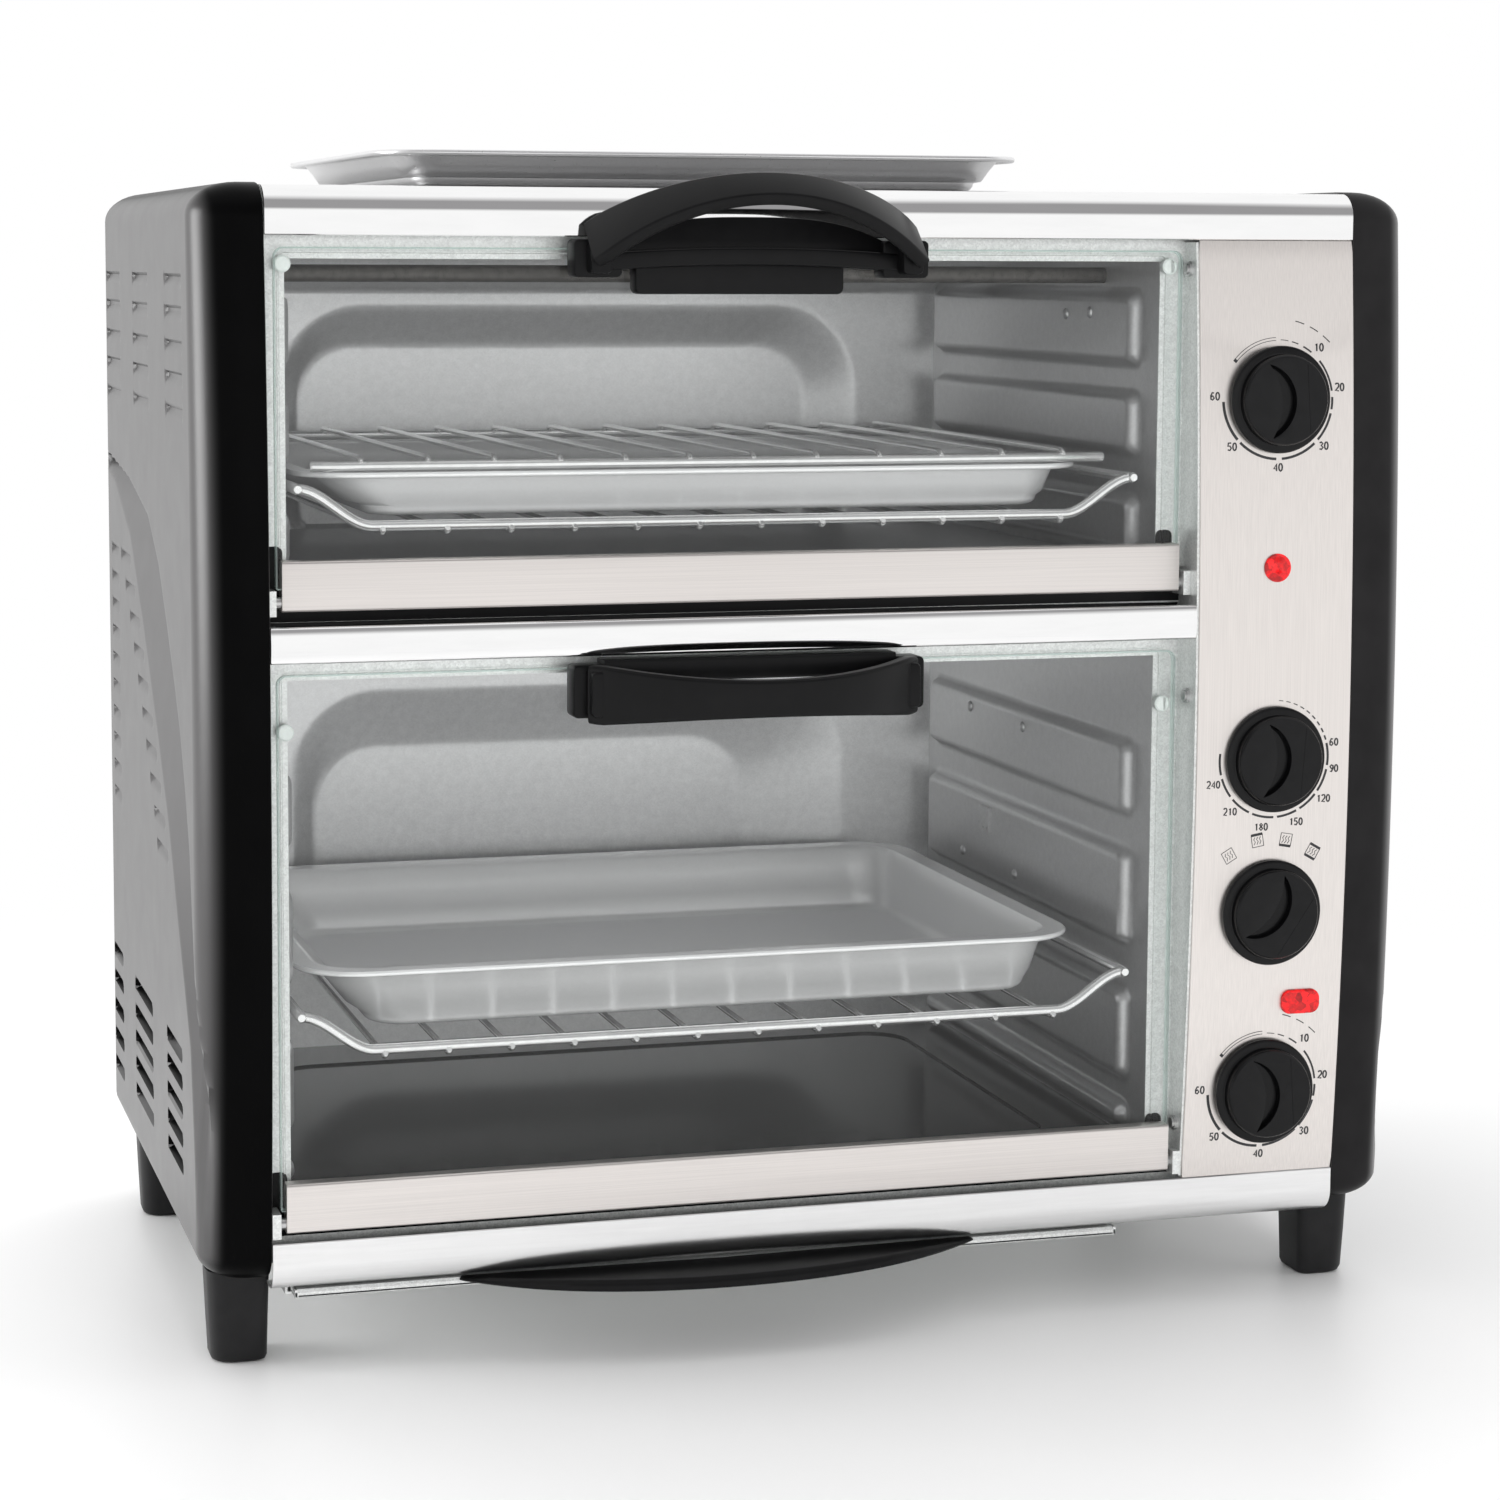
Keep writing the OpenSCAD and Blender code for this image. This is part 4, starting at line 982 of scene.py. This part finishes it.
# ---------------------------------------------------------------- lamps
b = BX("upper_lamp")
zc = (b[2][0] + b[2][1]) / 2
M = Mesh()
M.lathe([(6.0, 6.0), (6.0, b[1][0] + 0.9), (5.5, b[1][0] + 0.5), (5.1, b[1][0] + 0.5)], (CX, 0, zc), (0, 1, 0), 32)
fv = [(CX, b[1][0] + 0.7, zc)] + [(CX + q * math.sin(t), b[1][0] + h, zc + q * math.cos(t))
                                  for q, h, o in ((2.6, 0.0, 0), (5.2, 0.55, 0.5))
                                for t in [(i + o) * PI / 4 for i in range(8)]]
M.add(fv, [(0, 1 + i, 1 + (i + 1) % 8) for i in range(8)] + [(1 + i, 9 + (i + 7) % 8, 9 + i) for i in range(8)] +
      [(1 + i, 9 + i, 1 + (i + 1) % 8) for i in range(8)])
M.make("lamp_round", "case", [LAMP], "lamp_lens", ["upper_lamp"], 8)
b = BX("lower_lamp")
M = Mesh()
M.slab(rrect(b[0][0], b[2][0], b[0][1], b[2][1], 4, 6), lambda a, c, e: (a, e, c), b[1][0], 8, 0.8)
M.make("lamp_oblong", "case", [LAMP], "lamp_lens", ["lower_lamp"], 30)

# ---------------------------------------------------------------- dial marks
INKM = Mesh()


def on_panel(x, z, lift=0.10):
    return (x, float(bow(z)) - lift, z)


def stroke(pts, w):
    n = len(pts)
    A, B = [], []
    for i in range(n):
        a, c = pts[max(i - 1, 0)], pts[min(i + 1, n - 1)]
        dx, dz = c[0] - a[0], c[1] - a[1]
        l = math.hypot(dx, dz) or 1
        ww = (w[0] + (w[1] - w[0]) * i / max(1, n - 1)) / 2 if isinstance(w, tuple) else w / 2
        A.append((pts[i][0] - dz / l * ww, pts[i][1] + dx / l * ww))
        B.append((pts[i][0] + dz / l * ww, pts[i][1] - dx / l * ww))
    top = [[on_panel(*p) for p in A], [on_panel(*p) for p in B]]
    bot = [[on_panel(*p, lift=-0.05) for p in A], [on_panel(*p, lift=-0.05) for p in B]]
    INKM.grid([bot[0], top[0], top[1], bot[1]], cu=True)
    for e in (0, -1):
        INKM.add([bot[0][e], top[0][e], top[1][e], bot[1][e]], [(0, 1, 2, 3)])


def polar(cz, r, deg):
    a = math.radians(deg)
    return (CX + r * math.sin(a), cz + r * math.cos(a))


def arc_mark(cz, r, a0, a1, w):
    n = max(3, int(abs(a1 - a0) / 3))
    stroke([polar(cz, r, a0 + (a1 - a0) * i / n) for i in range(n + 1)], w)


DIG = {"0": [[(0, 0), (0, 1), (1, 1), (1, 0), (0, 0)]], "1": [[(.25, .78), (.6, 1), (.6, 0)]],
       "2": [[(0, .85), (.25, 1), (.8, 1), (1, .8), (.95, .55), (0, 0), (1, 0)]],
       "3": [[(0, .9), (.5, 1), (.95, .8), (.5, .53), (1, .27), (.5, 0), (0, .1)]],
       "4": [[(.8, 0), (.8, 1), (0, .3), (1, .3)]],
       "5": [[(.95, 1), (.15, 1), (.05, .55), (.55, .62), (1, .33), (.6, 0), (0, .1)]],
       "6": [[(.9, .92), (.45, 1), (0, .55), (.05, .1), (.5, 0), (.98, .25), (.55, .55), (.03, .4)]],
       "8": [[(.5, .55), (.08, .8), (.5, 1), (.92, .8), (.5, .55), (0, .25), (.5, 0), (1, .25), (.5, .55)]],
       "9": [[(.95, .6), (.5, .45), (.02, .75), (.5, 1), (.95, .9), (1, .5), (.5, 0), (.1, .08)]]}


def number(txt, x, z, h=3.1):
    w, gap = h * 0.5, h * 0.24
    tot = len(txt) * w + (len(txt) - 1) * gap
    for k, ch in enumerate(txt):
        ox = x - tot / 2 + k * (w + gap)
        for ln in DIG[ch]:
            pts = [(ox + p[0] * w, z - h / 2 + p[1] * h) for p in ln]
            if ch == "0":
                pts = [(ox + w / 2 + w / 2 * math.sin(t), z + h / 2 * math.cos(t))
                       for t in np.linspace(0, 2 * PI, 13)]
            stroke(pts, h * 0.21)


for nd in ("upper_timer_knob", "lower_timer_knob"):
    cz = sum(BX(nd)[2]) / 2
    for a0, a1, w in ((3, 11, 0.3), (15, 22, 0.45), (28, 38, 0.65), (50, 82, 0.8), (88, 100, 0.9),
                      (104, 133, 0.95), (138, 176, 1.05), (182, 224, 1.1), (228, 268, 1.2)):
        arc_mark(cz, 24.8, a0, a1, w)
    arc_mark(cz, 24.5, -50, -2, 0.25)
    arc_mark(cz, 25.7, -50, -2, 0.25)
    stroke([polar(cz, 24.3, -50), polar(cz, 25.9, -50)], 1.3)
    for t, a in (("10", 41), ("20", 80), ("30", 133), ("40", 180), ("50", 227), ("60", 273)):
        x, z = polar(cz, 28.6 if t != "40" else 28.3, a)
        number(t, x, z)
    for k in range(3):
        arc_mark(cz, 33.5, 14 + 12 * k, 21 + 12 * k, 0.4)
cz = sum(BX("thermostat_knob")[2]) / 2
for k in range(9):
    arc_mark(cz, 24.8, 4 + 8 * k, 8.5 + 8 * k, 0.3 + 0.05 * k)
for a0, a1 in ((76, 98), (102, 125), (129, 150), (154, 175), (179, 202), (206, 228), (232, 252), (256, 277)):
    arc_mark(cz, 24.8, a0, a1, 0.95)
for t, a in (("60", 77), ("90", 100), ("120", 127), ("150", 158), ("180", 190), ("210", 222), ("240", 250)):
    x, z = polar(cz, 29.2 if t not in ("60", "90") else 28.2, a)
    number(t, x, z, 2.9)
cz = sum(BX("function_knob")[2]) / 2
for k, a in enumerate((-38, -12, 12, 37)):
    c = polar(cz, 31.5, a)
    t = math.radians(-a * 0.8)

    def rot(p):
        return (c[0] + p[0] * math.cos(t) - p[1] * math.sin(t), c[1] + p[0] * math.sin(t) + p[1] * math.cos(t))
    s = 2.6
    stroke([rot((-s, -s)), rot((-s, s))], 0.25)
    stroke([rot((s, -s)), rot((s, s))], 0.25)
    stroke([rot((-s, s)), rot((s, s))], 1.1 if k in (1, 3) else 0.25)
    stroke([rot((-s, -s)), rot((s, -s))], 1.1 if k in (2, 3) else 0.25)
    for j in (-1, 0, 1):
        stroke([rot((j * 1.3 - 0.4, -1.6)), rot((j * 1.3 + 0.3, -0.4)), rot((j * 1.3 - 0.3, 0.6)),
                rot((j * 1.3 + 0.3, 1.6))], 0.25)
INKM.make("dial_marks", "case", [INK], "knob_plastic")

# ---------------------------------------------------------------- studio
def stage_plane(name, verts, faces, mat):
    me = bpy.data.meshes.new(name)
    me.from_pydata(verts, [], faces)
    me.materials.append(mat)
    ob = bpy.data.objects.new(name, me)
    bpy.context.collection.objects.link(ob)
    return ob


floor_mat = material("floor_white", (0.88, 0.88, 0.88), 0, 0.4, (3, 3, 3), 0.01, 0.03, 0)
fn = floor_mat.node_tree
ln = fn.nodes.new("ShaderNodeVectorMath")
ln.operation = "LENGTH"
fn.links.new(fn.nodes["Texture Coordinate"].outputs["Object"], ln.inputs[0])
fr = fn.nodes.new("ShaderNodeMapRange")
fr.interpolation_type = "SMOOTHSTEP"
fr.inputs["From Min"].default_value = 0.28
fr.inputs["From Max"].default_value = 0.95
fn.links.new(ln.outputs["Value"], fr.inputs["Value"])
em = fn.nodes.new("ShaderNodeEmission")
em.inputs["Strength"].default_value = 1.0
fx = fn.nodes.new("ShaderNodeMixShader")
fn.links.new(fr.outputs["Result"], fx.inputs["Fac"])
fn.links.new(fn.nodes["Principled BSDF"].outputs[0], fx.inputs[1])
fn.links.new(em.outputs[0], fx.inputs[2])
fn.links.new(fx.outputs[0], fn.nodes["Material Output"].inputs["Surface"])
stage_plane("floor", [(-6, -6, 0), (6, -6, 0), (6, 6, 0), (-6, 6, 0)], [(0, 1, 2, 3)], floor_mat)

world = bpy.data.worlds.new("studio")
world.use_nodes = True
wn = world.node_tree
bg = wn.nodes["Background"]
tcw = wn.nodes.new("ShaderNodeTexCoord")
sx = wn.nodes.new("ShaderNodeSeparateXYZ")
wn.links.new(tcw.outputs["Generated"], sx.inputs[0])


def wmath(op, a, b=None, c=None):
    n = wn.nodes.new("ShaderNodeMath")
    n.operation = op
    n.use_clamp = op in ("MULTIPLY", "MULTIPLY_ADD")
    for k, v in enumerate((a, b, c)):
        if v is None:
            continue
        if isinstance(v, (int, float)):
            n.inputs[k].default_value = v
        else:
            wn.links.new(v, n.inputs[k])
    return n.outputs[0]


front = wmath("MULTIPLY_ADD", sx.outputs["Y"], -3.0, -0.1)
above = wmath("MULTIPLY_ADD", sx.outputs["Z"], 7.0, -1.1)
below_top = wmath("MULTIPLY_ADD", sx.outputs["Z"], -5.0, 4.8)
dark = wmath("MULTIPLY", wmath("MULTIPLY", front, above), below_top)
rw = wn.nodes.new("ShaderNodeValToRGB")
rw.color_ramp.elements[0].color = (1, 1, 1, 1)
rw.color_ramp.elements[1].color = (0.34, 0.335, 0.34, 1)
wn.links.new(dark, rw.inputs["Fac"])
wn.links.new(rw.outputs["Color"], bg.inputs["Color"])
bg.inputs["Strength"].default_value = 1.0
bpy.context.scene.world = world


def area(name, loc, target, size, power, glossy=False):
    ld = bpy.data.lights.new(name, "AREA")
    ld.shape = "RECTANGLE"
    ld.size, ld.size_y = size
    ld.energy = power
    ob = bpy.data.objects.new(name, ld)
    ob.location = loc
    ob.rotation_mode = "QUATERNION"
    ob.rotation_quaternion = (Vector(target) - Vector(loc)).to_track_quat("-Z", "Y")
    ob.visible_glossy = glossy
    bpy.context.collection.objects.link(ob)
    return ob


area("key", (-0.9, -1.7, 1.5), (0, 0.1, 0.25), (1.2, 1.0), 6)
area("front", (0.2, -2.2, 0.4), (0, 0.1, 0.25), (1.6, 0.6), 24)
area("fill", (1.9, -0.9, 0.9), (0, 0, 0.25), (1.2, 1.4), 5)
area("top", (0.0, 0.4, 2.0), (0, 0, 0.4), (2.0, 1.6), 14)
area("side", (-1.6, 0.4 + Y0, 0.55), (-0.2, 0.4 + Y0, 0.45), (0.85, 0.9), 15, True)

cam = bpy.data.cameras.new("camera")
cam.sensor_width = 36
cam.lens = 82.546
cam.shift_x, cam.shift_y = 0.0541, -0.09
cam.clip_start, cam.clip_end = 0.05, 50
co = bpy.data.objects.new("camera", cam)
yaw, roll, pitch = 0.27317, 0.00365, 0.10278
level = Vector((math.sin(yaw), math.cos(yaw), 0))
rt = Vector((math.cos(yaw), -math.sin(yaw), 0))
fw = level * math.cos(pitch) - Vector((0, 0, math.sin(pitch)))
up = level * math.sin(pitch) + Vector((0, 0, math.cos(pitch)))
r2 = rt * math.cos(roll) + up * math.sin(roll)
u2 = up * math.cos(roll) - rt * math.sin(roll)
co.matrix_world = Matrix(((r2.x, u2.x, -fw.x, -0.43747), (r2.y, u2.y, -fw.y, -1.31934 + Y0),
                          (r2.z, u2.z, -fw.z, 0.44282), (0, 0, 0, 1)))
bpy.context.collection.objects.link(co)
bpy.context.scene.camera = co
bpy.context.scene.view_settings.view_transform = "Standard"
